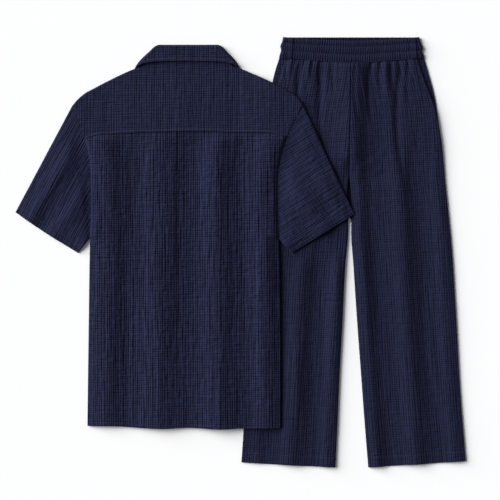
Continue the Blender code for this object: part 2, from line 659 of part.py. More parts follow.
def leg_edges(side, outer, crotch):
    """The two sides of a leg panel, x of y: its outer edge, and its centre seam and inseam."""
    centre, inseam = rail(CENTRE_SEAM), rail((INSEAM_LEFT, INSEAM_RIGHT)[side > 0])

    def inner(y):
        return np.where(y > crotch, centre(y), inseam(y)) + side * HALF_GAP

    return (inner, outer) if side > 0 else (outer, inner)


def leg_rows(levels):
    """Rows of a leg panel at levels between the waistband and the hem."""
    shares = [(BAND_SEAM_LEVEL - y) / (BAND_SEAM_LEVEL - LEG_HEM_LEVEL) for y in levels]
    return stations([0.0] + shares + [1.0])


def trouser_back(trousers, side):
    """One back leg panel, which lies uppermost and shows."""
    outline = (TROUSERS_LEFT, TROUSERS_RIGHT)[side > 0]
    mouth = (MOUTH_LEFT, MOUTH_RIGHT)[side > 0]
    outer = rail(mouth + tuple(p for p in outline if p[1] < mouth[-1][1] - 0.01))
    hem = through((LEG_HEM_LEFT, LEG_HEM_RIGHT)[side > 0])
    band = through(BAND_BOTTOM)
    column = stations(even(4 * GATHERS_PER_PANEL), FOLD_RADIUS, FOLD_RADIUS)
    left, right = leg_edges(side, outer, BACK_CROTCH)
    x, y = place(column, leg_rows(LEG_LEVELS), left, right, lambda x: band(x) - HALF_GAP, hem)
    inner_half = ((column[0] - 0.5) * side < 0)[None, :]
    seam_rise = ease((y - BACK_CROTCH) / CENTRE_SEAM_FADE)
    centre_low = UPPER_SEAM + (CENTRE_SEAM_LOFT - UPPER_SEAM) * seam_rise
    over_pocket = ease((y - POCKET_SEAM_END) / POCKET_SEAM_FADE + 1)
    mouth_low = UPPER_SEAM + (POCKET_LOFT + SEAM_GAP - UPPER_SEAM) * over_pocket
    low = np.where(inner_half, centre_low, mouth_low)
    hip = ease((y - HIP_START) / HIP_FADE)
    across = column[0][None, :]
    folds = (LEG_FOLDS_LEFT, LEG_FOLDS_RIGHT)[side > 0]
    waves = LEG_FOLD_SHARE * FOLD_DEPTH * ridges(across, folds)
    waves = waves * (1 - (1 - HIP_FOLD_SHARE) * hip)
    if side < 0:
        shown = ease((COVER_END - y) / COVER_FADE)
        waves = waves * (COVERED_FOLD_SHARE + (1 - COVERED_FOLD_SHARE) * shown)
    beside_seam = np.exp(-(((x - rail(CENTRE_SEAM)(y)) / CENTRE_RIDGE_WIDTH) ** 2))
    ridge = CENTRE_RIDGE * beside_seam * ease((y - BACK_CROTCH) / CENTRE_RIDGE_FADE)
    fade = np.exp(-(band(x) - y) / GATHER_FADE) * (1 - beside_seam)
    gathers = GATHER_DEPTH * np.cos(2 * np.pi * GATHERS_PER_PANEL * across) * fade
    hem_band = HEM_RIDGE * (y < hem(x) + LEG_HEM_BAND)
    high = LEG_LOFT + (HIP_LOFT - LEG_LOFT) * hip + waves + ridge + gathers + hem_band
    rise = column[2][None, :] + 0 * y
    z = low + (high - low) * rise
    name = ("trouser_back_left", "trouser_back_right")[side > 0]
    floor = np.where(rise < 1, low, -1)
    wall(name, trousers, x, y, z, CLOTH, cut="tb", rises=(column[2],), floor=floor)


def trouser_front(trousers, side):
    """One front leg panel, which lies on the surface."""
    hem = through((LEG_HEM_LEFT, LEG_HEM_RIGHT)[side > 0])
    band = through(BAND_BOTTOM)
    column = stations(even(6), FOLD_RADIUS, FOLD_RADIUS)
    left, right = leg_edges(side, rail((TROUSERS_LEFT, TROUSERS_RIGHT)[side > 0]), FRONT_CROTCH)
    row = leg_rows(UNDER_LEG_LEVELS)
    x, y = place(column, row, left, right, lambda x: band(x) - HALF_GAP, hem)
    inner_half = ((column[0] - 0.5) * side < 0)[None, :]
    sewn = np.where(inner_half, ease((y - FRONT_CROTCH) / FRONT_CROTCH_FADE), 0)
    rise = 1 - (1 - column[2][None, :]) * (1 - sewn)
    z = LOWER_SEAM * (1 - rise)
    name = ("trouser_front_left", "trouser_front_right")[side > 0]
    ceiling = np.where(rise < 1, LOWER_SEAM, 1)
    rises = (column[2],)
    wall(name, trousers, x, y, z, CLOTH, upper=False, cut="tb", rises=rises, ceiling=ceiling)


def pocket(trousers, side):
    """A side pocket: its facing shows beside the mouth and its bag lies between the walls."""
    outer = rail((TROUSERS_LEFT, TROUSERS_RIGHT)[side > 0])
    band = through(BAND_BOTTOM)
    bottom = through((POCKET_BOTTOM_LEFT, POCKET_BOTTOM_RIGHT)[side > 0])

    def inner(y):
        return 0 * y + side * POCKET_INNER

    left, right = (outer, inner) if side < 0 else (inner, outer)
    column = stations(even(6), *((POCKET_RADIUS, 0) if side < 0 else (0, POCKET_RADIUS)))
    x, y = place(column, stations(even(6)), left, right, lambda x: band(x) - HALF_GAP, bottom)
    rise = column[2][None, :] + 0 * y
    z = UPPER_SEAM + (POCKET_LOFT - UPPER_SEAM) * rise
    name = ("pocket_left", "pocket_right")[side > 0]
    cut = "tb" + ("r", "l")[side > 0]
    floor = np.where(rise < 1, UPPER_SEAM, -1)
    wall(name, trousers, x, y, z, POCKET_WALL, cut=cut, rises=(column[2],), floor=floor)


def channel(share):
    """How far the waistband's three channels swell between their lines of stitching."""
    swell = np.zeros_like(share)
    for first, last in zip(STITCHING[:-1], STITCHING[1:]):
        t = np.clip((share - first) / (last - first), 0, 1)
        swell = np.maximum(swell, np.sin(np.pi * t))
    return CHANNEL_SWELL * swell


def waistband(trousers):
    left, right = rail(BAND_LEFT), rail(BAND_RIGHT)
    bottom = through(BAND_BOTTOM)
    column = stations(even(2 * RUCHES), BAND_RADIUS, BAND_RADIUS)
    row = stations(BAND_ROWS)
    x, y = place(column, row, left, right, through(BAND_TOP), lambda x: bottom(x) + HALF_GAP)
    low = BAND_SEAM_HEIGHT + HALF_GAP
    rise = column[2][None, :] + 0 * y
    z = low + (BAND_LOFT - low) * rise
    ruche = RUCHE_DEPTH * (-1.0) ** np.arange(len(column[0]))[None, :] * (rise == 1)
    relief = channel(row[0][:, None]) * rise + ruche * (row[0][:, None] > 0)
    wall(
        "waistband_back", trousers, x, y, z, BAND_WALL, cut="tb", rises=(column[2],),
        floor=np.where(rise < 1, low, -1), relief=relief,
    )
    column = stations(even(10), BAND_RADIUS, BAND_RADIUS)
    row = stations(even(4))
    far_top, near_bottom = (lambda x: BAND_TOP[0][1] + 0 * x), (lambda x: bottom(x) + HALF_GAP)
    x, y = place(column, row, left, right, far_top, near_bottom)
    low = BAND_SEAM_HEIGHT - HALF_GAP
    rise = column[2][None, :] + 0 * y
    z = low * (1 - rise)
    wall(
        "waistband_front", trousers, x, y, z, BAND_WALL, upper=False, cut="tb",
        rises=(column[2],), ceiling=np.where(rise < 1, low, 1),
    )


def belt_loops(trousers):
    """Two narrow loops over the band, made from its channels moved out."""
    bottom, top = through(BAND_BOTTOM), through(BAND_TOP)
    over_ruches = RUCHE_DEPTH + SEAM_GAP + CLOTH
    for name, middle, lean in BELT_LOOPS:
        x, y = place(
            stations(even(2)), stations(BAND_ROWS),
            lambda y: middle - LOOP_WIDTH / 2 - lean * y,
            lambda y: middle + LOOP_WIDTH / 2 - lean * y,
            top, lambda x: bottom(x) + HALF_GAP,
        )
        z = BAND_LOFT + channel(np.array(BAND_ROWS)[:, None]) + over_ruches + 0 * x
        wall(name, trousers, x, y, z, CLOTH, cut="tblr")


def garment_origin(name, at):
    bpy.ops.object.empty_add(location=(at[0], at[1], 0.0))
    origin = bpy.context.object
    origin.name = name
    return origin


def main():
    for old in list(bpy.data.objects):
        bpy.data.objects.remove(old, do_unlink=True)
    garments = bpy.data.collections.new("shirt_and_trousers")
    bpy.context.scene.collection.children.link(garments)
    layers = bpy.context.view_layer.layer_collection.children
    bpy.context.view_layer.active_layer_collection = layers[garments.name]
    trousers = garment_origin("trousers_origin", TROUSERS_AT)
    waistband(trousers)
    belt_loops(trousers)
    shirt = garment_origin("shirt_origin", SHIRT_AT)
    shirt_back(shirt)
    shirt_yoke(shirt)
    collar(shirt)
    buttons(shirt)
    for side in (-1, 1):
        trouser_front(trousers, side)
        pocket(trousers, side)
        trouser_back(trousers, side)
        shirt_front(shirt, side)
        sleeve(shirt, side)


main()
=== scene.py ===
"""Looks for a navy crinkled shirt and wide trousers, laid flat with the back side up.

Every panel of the two garments is a thin sheet of cloth over its plain solid, with the cloth's
crinkle, its folds and gathers, its turned hems and its lines of stitching.
"""

import math

import bmesh
import bpy
import numpy as np
from bpy.props import FloatProperty, FloatVectorProperty, PointerProperty
from mathutils import Matrix, Vector


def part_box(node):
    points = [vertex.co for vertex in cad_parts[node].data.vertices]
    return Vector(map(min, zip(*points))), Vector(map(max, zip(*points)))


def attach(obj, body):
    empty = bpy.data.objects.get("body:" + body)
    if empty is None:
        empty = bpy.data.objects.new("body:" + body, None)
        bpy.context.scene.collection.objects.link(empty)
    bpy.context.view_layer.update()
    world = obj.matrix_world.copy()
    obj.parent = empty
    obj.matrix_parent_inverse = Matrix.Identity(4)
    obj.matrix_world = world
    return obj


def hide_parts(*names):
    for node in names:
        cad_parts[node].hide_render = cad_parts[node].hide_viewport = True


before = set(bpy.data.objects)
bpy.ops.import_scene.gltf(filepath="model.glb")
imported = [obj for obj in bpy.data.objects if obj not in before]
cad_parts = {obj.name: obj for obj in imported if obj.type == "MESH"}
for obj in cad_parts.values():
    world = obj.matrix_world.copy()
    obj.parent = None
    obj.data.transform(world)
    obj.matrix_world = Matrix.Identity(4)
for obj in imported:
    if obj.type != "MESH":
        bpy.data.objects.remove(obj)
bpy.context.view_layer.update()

bl_info = {
    "name": "Crinkled shirt and trousers",
    "version": (1, 0, 0),
    "blender": (4, 5, 0),
    "location": "3D View > Sidebar > Garments",
    "description": "Cloth, stitching and buttons for a shirt and trousers laid flat",
    "category": "Object",
}

# Overall layout, in metres, as in the part's source
LAYOUT_WIDTH = 1.008
LAYOUT_HEIGHT = 0.9625
SHIRT_AT = (-LAYOUT_WIDTH / 2 + 0.377, -0.3913)
TROUSERS_AT = (LAYOUT_WIDTH / 2 - 0.258, LAYOUT_HEIGHT / 2 - 0.0075)

# Seams and the height of the layers, measured to the outer faces
SEAM_GAP = 0.0003
HALF_GAP = SEAM_GAP / 2
SIDE_SEAM_HEIGHT = 0.0020
UPPER_SEAM = SIDE_SEAM_HEIGHT + HALF_GAP
LOWER_SEAM = SIDE_SEAM_HEIGHT - HALF_GAP
BAND_SEAM_HEIGHT = 0.0027
FOLD_RADIUS = 0.0045
BODY_LOFT = 0.0047
SLEEVE_LOFT = 0.0046
SLEEVE_EDGE = 0.0020
BODY_EDGE = 0.0032
LEG_LOFT = 0.0050
HIP_LOFT = 0.0063
BAND_LOFT = 0.0054
POCKET_LOFT = 0.0029
ARMHOLE_LOFT = 0.0040
ARMHOLE_SLOPE = 0.26
ARMHOLE_ROLL_PLACE = 0.009
CENTRE_SEAM_LOFT = 0.0068
FALL_LOFT = 0.0078
LEAF_WALL = 0.0015
STAND_LEVEL = 0.0037
STAND_TUCK = 0.004
BUTTON_RADIUS = 0.0065
BUTTON_THICKNESS = 0.0020
BUTTON_RIM = 0.0012
BUTTON_DISH = 0.0005
HOLE_PLACE = 0.0013
HOLE_RADIUS = 0.0007
BUTTON_COUNT = 5
LOOP_WIDTH = 0.011
OVERLAP = 0.036
CLIMB = 0.080
HIP_LEVEL_START = -0.33
HIP_LEVEL_RUN = 0.12
HIP_START = -0.34
HIP_RUN = 0.16
LEAF_MIDDLE = (0.008, 0.765)
LEAF_HALF = (0.128, 0.095)
LEAF_FADE = 0.045
LEAF_CLEARANCE = 0.0005

# The rise of the shirt's back over its fronts, and where its folds end
BACK_LIFT = 0.0038
BACK_LIFT_HALF = 0.055
BACK_LIFT_FADE = 0.100
BACK_LIFT_TOP = 0.715
BACK_LIFT_TOP_FADE = 0.075
FOLDS_TOP = 0.665
FOLDS_FADE = 0.03

# Edges, hems and lines of stitching, as distances from the edge
COLLAR_RADIUS = 0.006
COLLAR_TOP = 0.856
STAND_TOP = 0.8495
STAND_INSET = 0.018
BAND_RADIUS = 0.005
POCKET_RADIUS = 0.005
FAR_BAND_TOP = 0.0075
SLEEVE_LENGTH = 0.135
SLEEVE_HEM = 0.0165
SHIRT_HEM_SEAM = 0.0078
LEG_HEM_SEAM = 0.0215

# Thickness of the sheets that are doubled or thinner, and the relief of the faces below
FALL_CLOTH = 0.0019
BAND_CLOTH = 0.0016
DOUBLED_CLOTH = 0.0012
POCKET_CLOTH = 0.0008
UNDER_RELIEF = 0.00025

# Mesh: cells of the seeded noise, steps over a hem, sharp edges and the steps of a round edge
LATTICE = 256
HEM_SPACING = 0.0014
RIM_ANGLE = math.radians(55)
BUTTON_ANGLE = math.radians(40)
BUTTON_BEVEL = 0.00025
ROUND = (0.0, 0.03, 0.10, 0.20, 0.33, 0.50, 0.72)

# The floor under the set
FLOOR_SIZE = 16
FLOOR_DROP = 0.0004

# Shirt outlines from the centre of its hem: x and y in metres
SHIRT_LEFT = (
    (-0.250, 0.719), (-0.236, 0.691), (-0.222, 0.645), (-0.212, 0.603), (-0.208, 0.542),
    (-0.208, 0.482), (-0.210, 0.423), (-0.213, 0.240), (-0.215, 0.083), (-0.216, 0.003),
)
SHIRT_RIGHT = (
    (0.268, 0.719), (0.252, 0.694), (0.235, 0.657), (0.222, 0.620), (0.213, 0.576),
    (0.211, 0.508), (0.213, 0.421), (0.215, 0.240), (0.216, 0.083), (0.216, 0.003),
)
SHOULDER_LEFT = (
    (-0.250, 0.719), (-0.241, 0.730), (-0.223, 0.746), (-0.198, 0.760), (-0.155, 0.782),
    (-0.112, 0.801), (-0.097, 0.806),
)
SHOULDER_RIGHT = (
    (0.113, 0.806), (0.127, 0.802), (0.149, 0.793), (0.201, 0.769), (0.232, 0.752),
    (0.256, 0.735), (0.268, 0.719),
)
BACK_NECK = ((-0.085, 0.817), (-0.049, 0.825), (0.008, 0.828), (0.065, 0.825), (0.101, 0.817))
YOKE_SEAM = (
    (-0.231, 0.639), (-0.222, 0.643), (-0.197, 0.652), (-0.152, 0.656), (-0.070, 0.659),
    (0.015, 0.661), (0.105, 0.659), (0.190, 0.657), (0.217, 0.652), (0.240, 0.644),
)
SHIRT_HEM = (
    (-0.216, 0.003), (-0.148, 0.002), (-0.101, -0.001), (-0.041, -0.003), (0.0, -0.001),
    (0.081, -0.004), (0.134, -0.002), (0.216, -0.001),
)
NECK_CENTRE = 0.009
FRONT_NECK = ((0.097, 0.795), (0.079, 0.772), (0.044, 0.742), (0.0, 0.724), (-0.021, 0.714))
UNDERARM = (0.423, 0.421)
SLEEVE_LEFT_CUFF = ((-0.237, 0.390), (-0.316, 0.439), (-0.377, 0.481))
SLEEVE_RIGHT_CUFF = ((0.241, 0.390), (0.316, 0.437), (0.381, 0.477))
FALL_LEFT = ((-0.063, 0.856), (-0.109, 0.806))
FALL_RIGHT = ((0.083, 0.856), (0.125, 0.806))
FALL_LIP = (
    (-0.109, 0.806), (-0.087, 0.814), (-0.054, 0.818), (0.008, 0.819), (0.063, 0.818),
    (0.103, 0.814), (0.125, 0.806),
)
FALL_CORNER = 0.0022
FALL_CORNER_WIDTH = 0.007
FALL_CORNER_START = 0.846
FALL_CORNER_FADE = 0.010
LEAF_LEFT_OUTER = ((-0.066, 0.852), (-0.108, 0.807), (-0.119, 0.764), (-0.060, 0.672))
LEAF_LEFT_INNER = ((-0.056, 0.852), (-0.058, 0.809), (-0.043, 0.766), (-0.002, 0.724))
LEAF_RIGHT_OUTER = ((0.086, 0.852), (0.124, 0.807), (0.135, 0.764), (0.076, 0.672))
LEAF_RIGHT_INNER = ((0.076, 0.852), (0.074, 0.809), (0.059, 0.766), (0.018, 0.724))

# Trousers outlines from the middle of the waist: x and y in metres
TROUSERS_LEFT = (
    (-0.160, -0.041), (-0.169, -0.069), (-0.178, -0.112), (-0.190, -0.193), (-0.205, -0.311),
    (-0.216, -0.468), (-0.224, -0.612), (-0.234, -0.788), (-0.244, -0.944),
)
TROUSERS_RIGHT = (
    (0.165, -0.040), (0.174, -0.072), (0.185, -0.112), (0.199, -0.194), (0.214, -0.334),
    (0.227, -0.468), (0.236, -0.611), (0.246, -0.790), (0.258, -0.941),
)
BAND_LEFT = (
    (-0.151, 0.008), (-0.153, -0.002), (-0.157, -0.013), (-0.1555, -0.021), (-0.159, -0.034),
    (-0.160, -0.041),
)
BAND_RIGHT = (
    (0.154, 0.008), (0.157, -0.004), (0.162, -0.017), (0.1605, -0.024), (0.164, -0.034),
    (0.165, -0.040),
)
BAND_TOP = ((-0.151, 0.0075), (-0.075, 0.002), (0.0, -0.001), (0.077, 0.002), (0.155, 0.0075))
BAND_BOTTOM = (
    (-0.160, -0.040), (-0.128, -0.042), (-0.075, -0.046), (0.0, -0.051), (0.077, -0.047),
    (0.133, -0.042), (0.165, -0.039),
)
MOUTH_LEFT = ((-0.146, -0.043), (-0.162, -0.096), (-0.184, -0.159))
MOUTH_RIGHT = ((0.150, -0.042), (0.171, -0.101), (0.191, -0.155))
CENTRE_SEAM = ((0.0, -0.051), (0.0, -0.132), (-0.002, -0.222), (-0.003, -0.300), (-0.002, -0.396))
INSEAM_LEFT = (
    (-0.003, -0.300), (-0.006, -0.334), (-0.005, -0.396), (-0.006, -0.441), (-0.011, -0.495),
    (-0.018, -0.629), (-0.024, -0.737), (-0.030, -0.871), (-0.034, -0.955),
)
INSEAM_RIGHT = (
    (-0.003, -0.300), (0.001, -0.334), (0.002, -0.396), (0.002, -0.441), (0.006, -0.495),
    (0.015, -0.629), (0.023, -0.737), (0.033, -0.871), (0.040, -0.955),
)
LEG_HEM_LEFT = ((-0.244, -0.944), (-0.136, -0.950), (-0.034, -0.955))
LEG_HEM_RIGHT = ((0.040, -0.955), (0.133, -0.949), (0.258, -0.941))
BACK_CROTCH = -0.300
FRONT_CROTCH = -0.396
POCKET_BOTTOM_LEFT = ((-0.191, -0.188), (-0.175, -0.226), (-0.140, -0.246), (-0.080, -0.248))
POCKET_BOTTOM_RIGHT = ((0.080, -0.248), (0.145, -0.246), (0.182, -0.226), (0.199, -0.188))
POCKET_INNER = 0.088
POCKET_SEAM_END = -0.190

# Soft folds: where each lies across the panel, how wide it is and how high, as shares
BACK_FOLDS = ((0.09, 0.10, 1.0), (0.37, 0.11, 0.9), (0.68, 0.10, 1.0), (0.93, 0.08, 0.8))
LEG_FOLDS_LEFT = ((0.14, 0.10, 0.3), (0.53, 0.12, 1.0), (0.94, 0.09, 0.9))
LEG_FOLDS_RIGHT = ((0.07, 0.08, 0.9), (0.50, 0.12, 1.0), (0.92, 0.10, 0.7))
SLEEVE_FOLDS_LEFT = ((0.78, 0.10, 1.0), (0.40, 0.12, 0.7))
SLEEVE_FOLDS_RIGHT = ((0.55, 0.14, 0.8), (0.85, 0.08, 0.5))
FOLD_TROUGH = 0.75
LEG_FOLD_SHARE = 0.68
SLEEVE_FOLD_SHARE = 0.5
GATHERS_PER_PANEL = 7
CENTRE_RIDGE = 0.0094
CENTRE_RIDGE_LEFT = 0.036
CENTRE_RIDGE_RIGHT = 0.028
CENTRE_SEAM_SHARE = 0.80
RUCHES = 60
STITCHING = (0.0, 0.27, 0.63, 1.0)

# Soft creases, given one by one: both ends, half width and height; below 0 is a trough
SHIRT_CREASES = (
    (-0.196, 0.600, -0.150, 0.430, 0.008, -0.0011),
    (-0.203, 0.470, -0.165, 0.300, 0.009, 0.0010),
    (0.205, 0.560, 0.168, 0.400, 0.009, -0.0011),
    (0.203, 0.455, 0.170, 0.250, 0.010, 0.0010),
    (-0.060, 0.640, -0.075, 0.450, 0.010, 0.0008),
    (0.070, 0.640, 0.085, 0.500, 0.009, 0.0008),
    (0.010, 0.630, 0.004, 0.330, 0.012, -0.0008),
    (-0.110, 0.300, -0.120, 0.060, 0.010, -0.0008),
    (0.120, 0.260, 0.135, 0.040, 0.011, -0.0008),
    (-0.030, 0.240, -0.042, 0.020, 0.009, 0.0007),
)
GATHER_CREASES = (
    (-0.1378, -0.026, -0.1420, -0.110, 0.0045, -0.0016),
    (-0.1086, -0.026, -0.1110, -0.170, 0.0055, -0.0021),
    (-0.0661, -0.030, -0.0640, -0.120, 0.0045, -0.0019),
    (-0.0526, -0.020, -0.0480, -0.330, 0.0075, -0.0026),
    (-0.0347, -0.032, -0.0340, -0.130, 0.0040, -0.0018),
    (0.0123, -0.032, 0.0235, -0.200, 0.0050, -0.0012),
    (0.0482, -0.030, 0.0540, -0.210, 0.0055, -0.0019),
    (0.0683, -0.030, 0.0700, -0.120, 0.0042, -0.0017),
    (0.0952, -0.026, 0.0980, -0.130, 0.0045, -0.0016),
    (0.1176, -0.020, 0.1260, -0.340, 0.0075, -0.0027),
    (0.1333, -0.026, 0.1370, -0.170, 0.0045, -0.0014),
    (-0.0880, -0.026, -0.0900, -0.110, 0.0050, 0.0012),
    (0.0310, -0.028, 0.0360, -0.140, 0.0055, 0.0013),
    (0.0820, -0.028, 0.0880, -0.150, 0.0055, 0.0013),
)
TROUSER_CREASES = (
    (-0.004, -0.298, -0.095, -0.215, 0.008, 0.0012),
    (-0.008, -0.322, -0.110, -0.262, 0.008, -0.0011),
    (0.000, -0.298, 0.098, -0.222, 0.008, 0.0012),
    (0.004, -0.322, 0.104, -0.280, 0.008, -0.0010),
    (-0.150, -0.160, -0.120, -0.400, 0.010, -0.0010),
    (0.160, -0.180, 0.140, -0.420, 0.010, -0.0010),
    (-0.060, -0.420, -0.085, -0.720, 0.010, -0.0009),
    (0.070, -0.400, 0.090, -0.700, 0.011, -0.0009),
    (-0.180, -0.560, -0.200, -0.860, 0.010, 0.0008),
    (0.190, -0.520, 0.210, -0.840, 0.010, 0.0009),
)


def through(table):
    """A smooth curve through a table's points, as y worked out from x."""
    knots, values = np.array(sorted(table)).T
    slopes = np.gradient(values, knots)

    def at(x):
        i = np.clip(np.searchsorted(knots, x) - 1, 0, len(knots) - 2)
        step = knots[i + 1] - knots[i]
        t = np.clip((x - knots[i]) / step, 0, 1)
        rise = (1 + 2 * t) * (1 - t) ** 2 * values[i] + t * t * (3 - 2 * t) * values[i + 1]
        bend = t * (1 - t) ** 2 * slopes[i] + t * t * (t - 1) * slopes[i + 1]
        return rise + step * bend

    return at


def rail(table):
    """A side edge as x worked out from y."""
    return through([(y, x) for x, y in table])


def path(table):
    """A smooth curve through a table's points, as (x, y) worked out from its share of length."""
    points = np.array(table)
    lengths = np.hypot(*np.diff(points, axis=0).T)
    share = np.concatenate([[0], np.cumsum(lengths)]) / lengths.sum()
    x_at = through(list(zip(share, points[:, 0])))
    y_at = through(list(zip(share, points[:, 1])))
    return lambda s: (x_at(s), y_at(s))


def length_of(table):
    """Length of a table's broken line."""
    return float(np.hypot(*np.diff(np.array(table), axis=0).T).sum())


def ease(t):
    """0 below 0 and 1 above 1, with a smooth climb between."""
    t = np.clip(t, 0, 1)
    return t * t * (3 - 2 * t)


def ridges(share, table):
    """Soft ridges across a panel, from below 0 in the troughs to more than 1 on the crests."""
    height = np.zeros_like(share)
    for middle, width, size in table:
        height = height + size * np.exp(-(((share - middle) / width) ** 2))
    return 2 * height - FOLD_TROUGH


def creases(x, y, table):
    """Height of soft creases, each along a straight run between two points."""
    height = np.zeros_like(x)
    for x0, y0, x1, y1, width, size in table:
        run = math.hypot(x1 - x0, y1 - y0)
        along = ((x - x0) * (x1 - x0) + (y - y0) * (y1 - y0)) / run**2
        aside = ((x - x0) * (y1 - y0) - (y - y0) * (x1 - x0)) / run
        bow = 0.06 * run * np.sin(np.pi * np.clip(along, 0, 1))
        ends = ease(along / 0.25) * ease((1 - along) / 0.35)
        height = height + size * ends * np.exp(-(((aside - bow) / width) ** 2))
    return height


def grain(u, v, cell_u, cell_v, seed):
    """Smooth seeded noise from -1 to 1, with cells of cell_u by cell_v metres."""
    table = np.random.default_rng(seed).uniform(-1, 1, (LATTICE, LATTICE))
    a, b = u / cell_u + 97.3, v / cell_v + 41.7
    i, j = np.floor(a).astype(int), np.floor(b).astype(int)
    s, t = a - i, b - j
    s, t = s * s * (3 - 2 * s), t * t * (3 - 2 * t)
    i0, i1, j0, j1 = i % LATTICE, (i + 1) % LATTICE, j % LATTICE, (j + 1) % LATTICE
    low = table[i0, j0] * (1 - s) + table[i1, j0] * s
    high = table[i0, j1] * (1 - s) + table[i1, j1] * s
    return low * (1 - t) + high * t


def crinkle(u, v, seed, turned=False):
    """Relief of the crinkled cloth from about -1 to 1: uneven ribs along v, and short dashes."""
    if turned:
        u, v = v, u
    bent = u + 0.0020 * grain(u, v, 0.030, 0.250, seed)
    ribs = grain(bent, v, 0.0044, 0.160, seed + 1)
    wide = grain(bent, v, 0.0105, 0.240, seed + 2)
    dashes = grain(u, v, 0.0110, 0.0046, seed + 3)
    fine = grain(u, v, 0.0030, 0.0040, seed + 4)
    return 0.40 * ribs + 0.75 * wide + 0.22 * dashes + 0.10 * fine


def rumple(u, v, seed):
    """Broad shallow unevenness of cloth that lies loosely, from about -1 to 1."""
    return 0.6 * grain(u, v, 0.035, 0.080, seed) + 0.4 * grain(u, v, 0.018, 0.035, seed + 1)


def stations(shares, first=0.0, last=0.0, right_shares=None):
    """Columns or rows of a panel: share between its ends, metres in from an end, and rise."""
    right_shares = shares if right_shares is None else right_shares
    bend = [(t, math.sqrt(1 - (1 - t) ** 2)) for t in ROUND]
    made = [(0.0, t * first, rise, 0.0) for t, rise in bend] if first else []
    made += [(s, first * (1 - s) - last * s, 1.0, r) for s, r in zip(shares, right_shares)]
    if last:
        made += [(1.0, -t * last, rise, 1.0) for t, rise in reversed(bend)]
    return np.array(made).T


def even(length, spacing):
    """Shares from 0 to 1 in equal steps of about a spacing, over a length in metres."""
    return np.linspace(0, 1, max(2, round(length / spacing)) + 1)


def hemmed(length, spacing, hem):
    """Shares from 0 to 1, in finer steps over the turned hem at the end."""
    plain = (length - hem) / length
    return np.concatenate([
        even(length - hem, spacing)[:-1] * plain,
        plain + even(hem, HEM_SPACING) * (1 - plain),
    ])


def place(column, row, left, right, top, bottom):
    """The x and y of a panel's points between two sides, x of y, and two ends, y of x."""
    su, ou = column[0][None, :], column[1][None, :]
    sv, ov = row[0][:, None] * (1 - su) + row[3][:, None] * su, row[1][:, None]
    y = top(0.0) * (1 - sv) + bottom(0.0) * sv + 0 * su
    for _ in range(8):
        x = left(y) * (1 - su) + right(y) * su + ou
        y = top(x) * (1 - sv) + bottom(x) * sv - ov
    return x, y


def meeting(side, end):
    """The height where a side edge, x of y, meets an end, y of x."""
    y = end(side(0.6))
    for _ in range(8):
        y = end(side(y))
    return float(y)


def from_end(share, length, reach):
    """0 at a row's two ends and 1 past a reach in from them, to still the crinkle at a seam."""
    share = share[:, None]
    return ease(np.minimum(share, 1 - share) * length / reach)


def sheet_object(name, x, y, z, u, v, relief, thickness, upper=True):
    """A thin sheet of cloth with its outer face at x, y, z and its grain along v, in metres."""
    rows, columns = x.shape
    points = np.stack([x, y, z], axis=-1).reshape(-1, 3)
    index = np.arange(rows * columns).reshape(rows, columns)
    a, b, c, d = index[:-1, :-1], index[:-1, 1:], index[1:, 1:], index[1:, :-1]
    quads = (d, c, b, a) if upper else (a, b, c, d)
    faces = np.stack(quads, axis=-1).reshape(-1, 4)
    mesh = bpy.data.meshes.new(name)
    mesh.from_pydata(points.tolist(), [], faces.tolist())
    grain_map = mesh.uv_layers.new(name="grain")
    corners = np.empty(len(mesh.loops), dtype=np.int32)
    mesh.loops.foreach_get("vertex_index", corners)
    uv = np.stack([u + 0 * x, v + 0 * x], axis=-1).reshape(-1, 2)[corners]
    grain_map.data.foreach_set("uv", uv.ravel())
    # The relief attribute drives painted shade: the material darkens the cloth where it is low and
    # lightens it where it is high.
    shade = mesh.attributes.new("relief", "FLOAT", "POINT")
    shade.data.foreach_set("value", (0.5 + 0.5 * (relief + 0 * x)).ravel())
    piece = bpy.data.objects.new(name, mesh)
    bpy.context.scene.collection.objects.link(piece)
    solidify = piece.modifiers.new("Cloth", "SOLIDIFY")
    solidify.thickness = thickness
    solidify.offset = -1.0
    bpy.ops.object.select_all(action="DESELECT")
    bpy.context.view_layer.objects.active = piece
    piece.select_set(True)
    bpy.ops.object.modifier_apply(modifier="Cloth")
    bpy.ops.object.shade_smooth_by_angle(angle=RIM_ANGLE)
    return piece


def paint_shade_on_lower_face(piece, shade):
    """Painted shade: darken the whole upper face of a lower panel, the garment's inside, which shows
    between the legs.
    """
    relief = piece.data.attributes["relief"].data
    values = np.empty(len(relief), dtype=np.float32)
    relief.foreach_get("value", values)
    values[len(values) // 2:] -= shade
    relief.foreach_set("value", values)


def as_cloth(piece, node, material):
    """Dress a sheet and let it stand for its solid."""
    piece.data.materials.clear()
    piece.data.materials.append(material)
    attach(piece, "root")
    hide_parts(node)
    return piece


def settings():
    """The cloth's settings."""
    return bpy.context.scene.garment_cloth


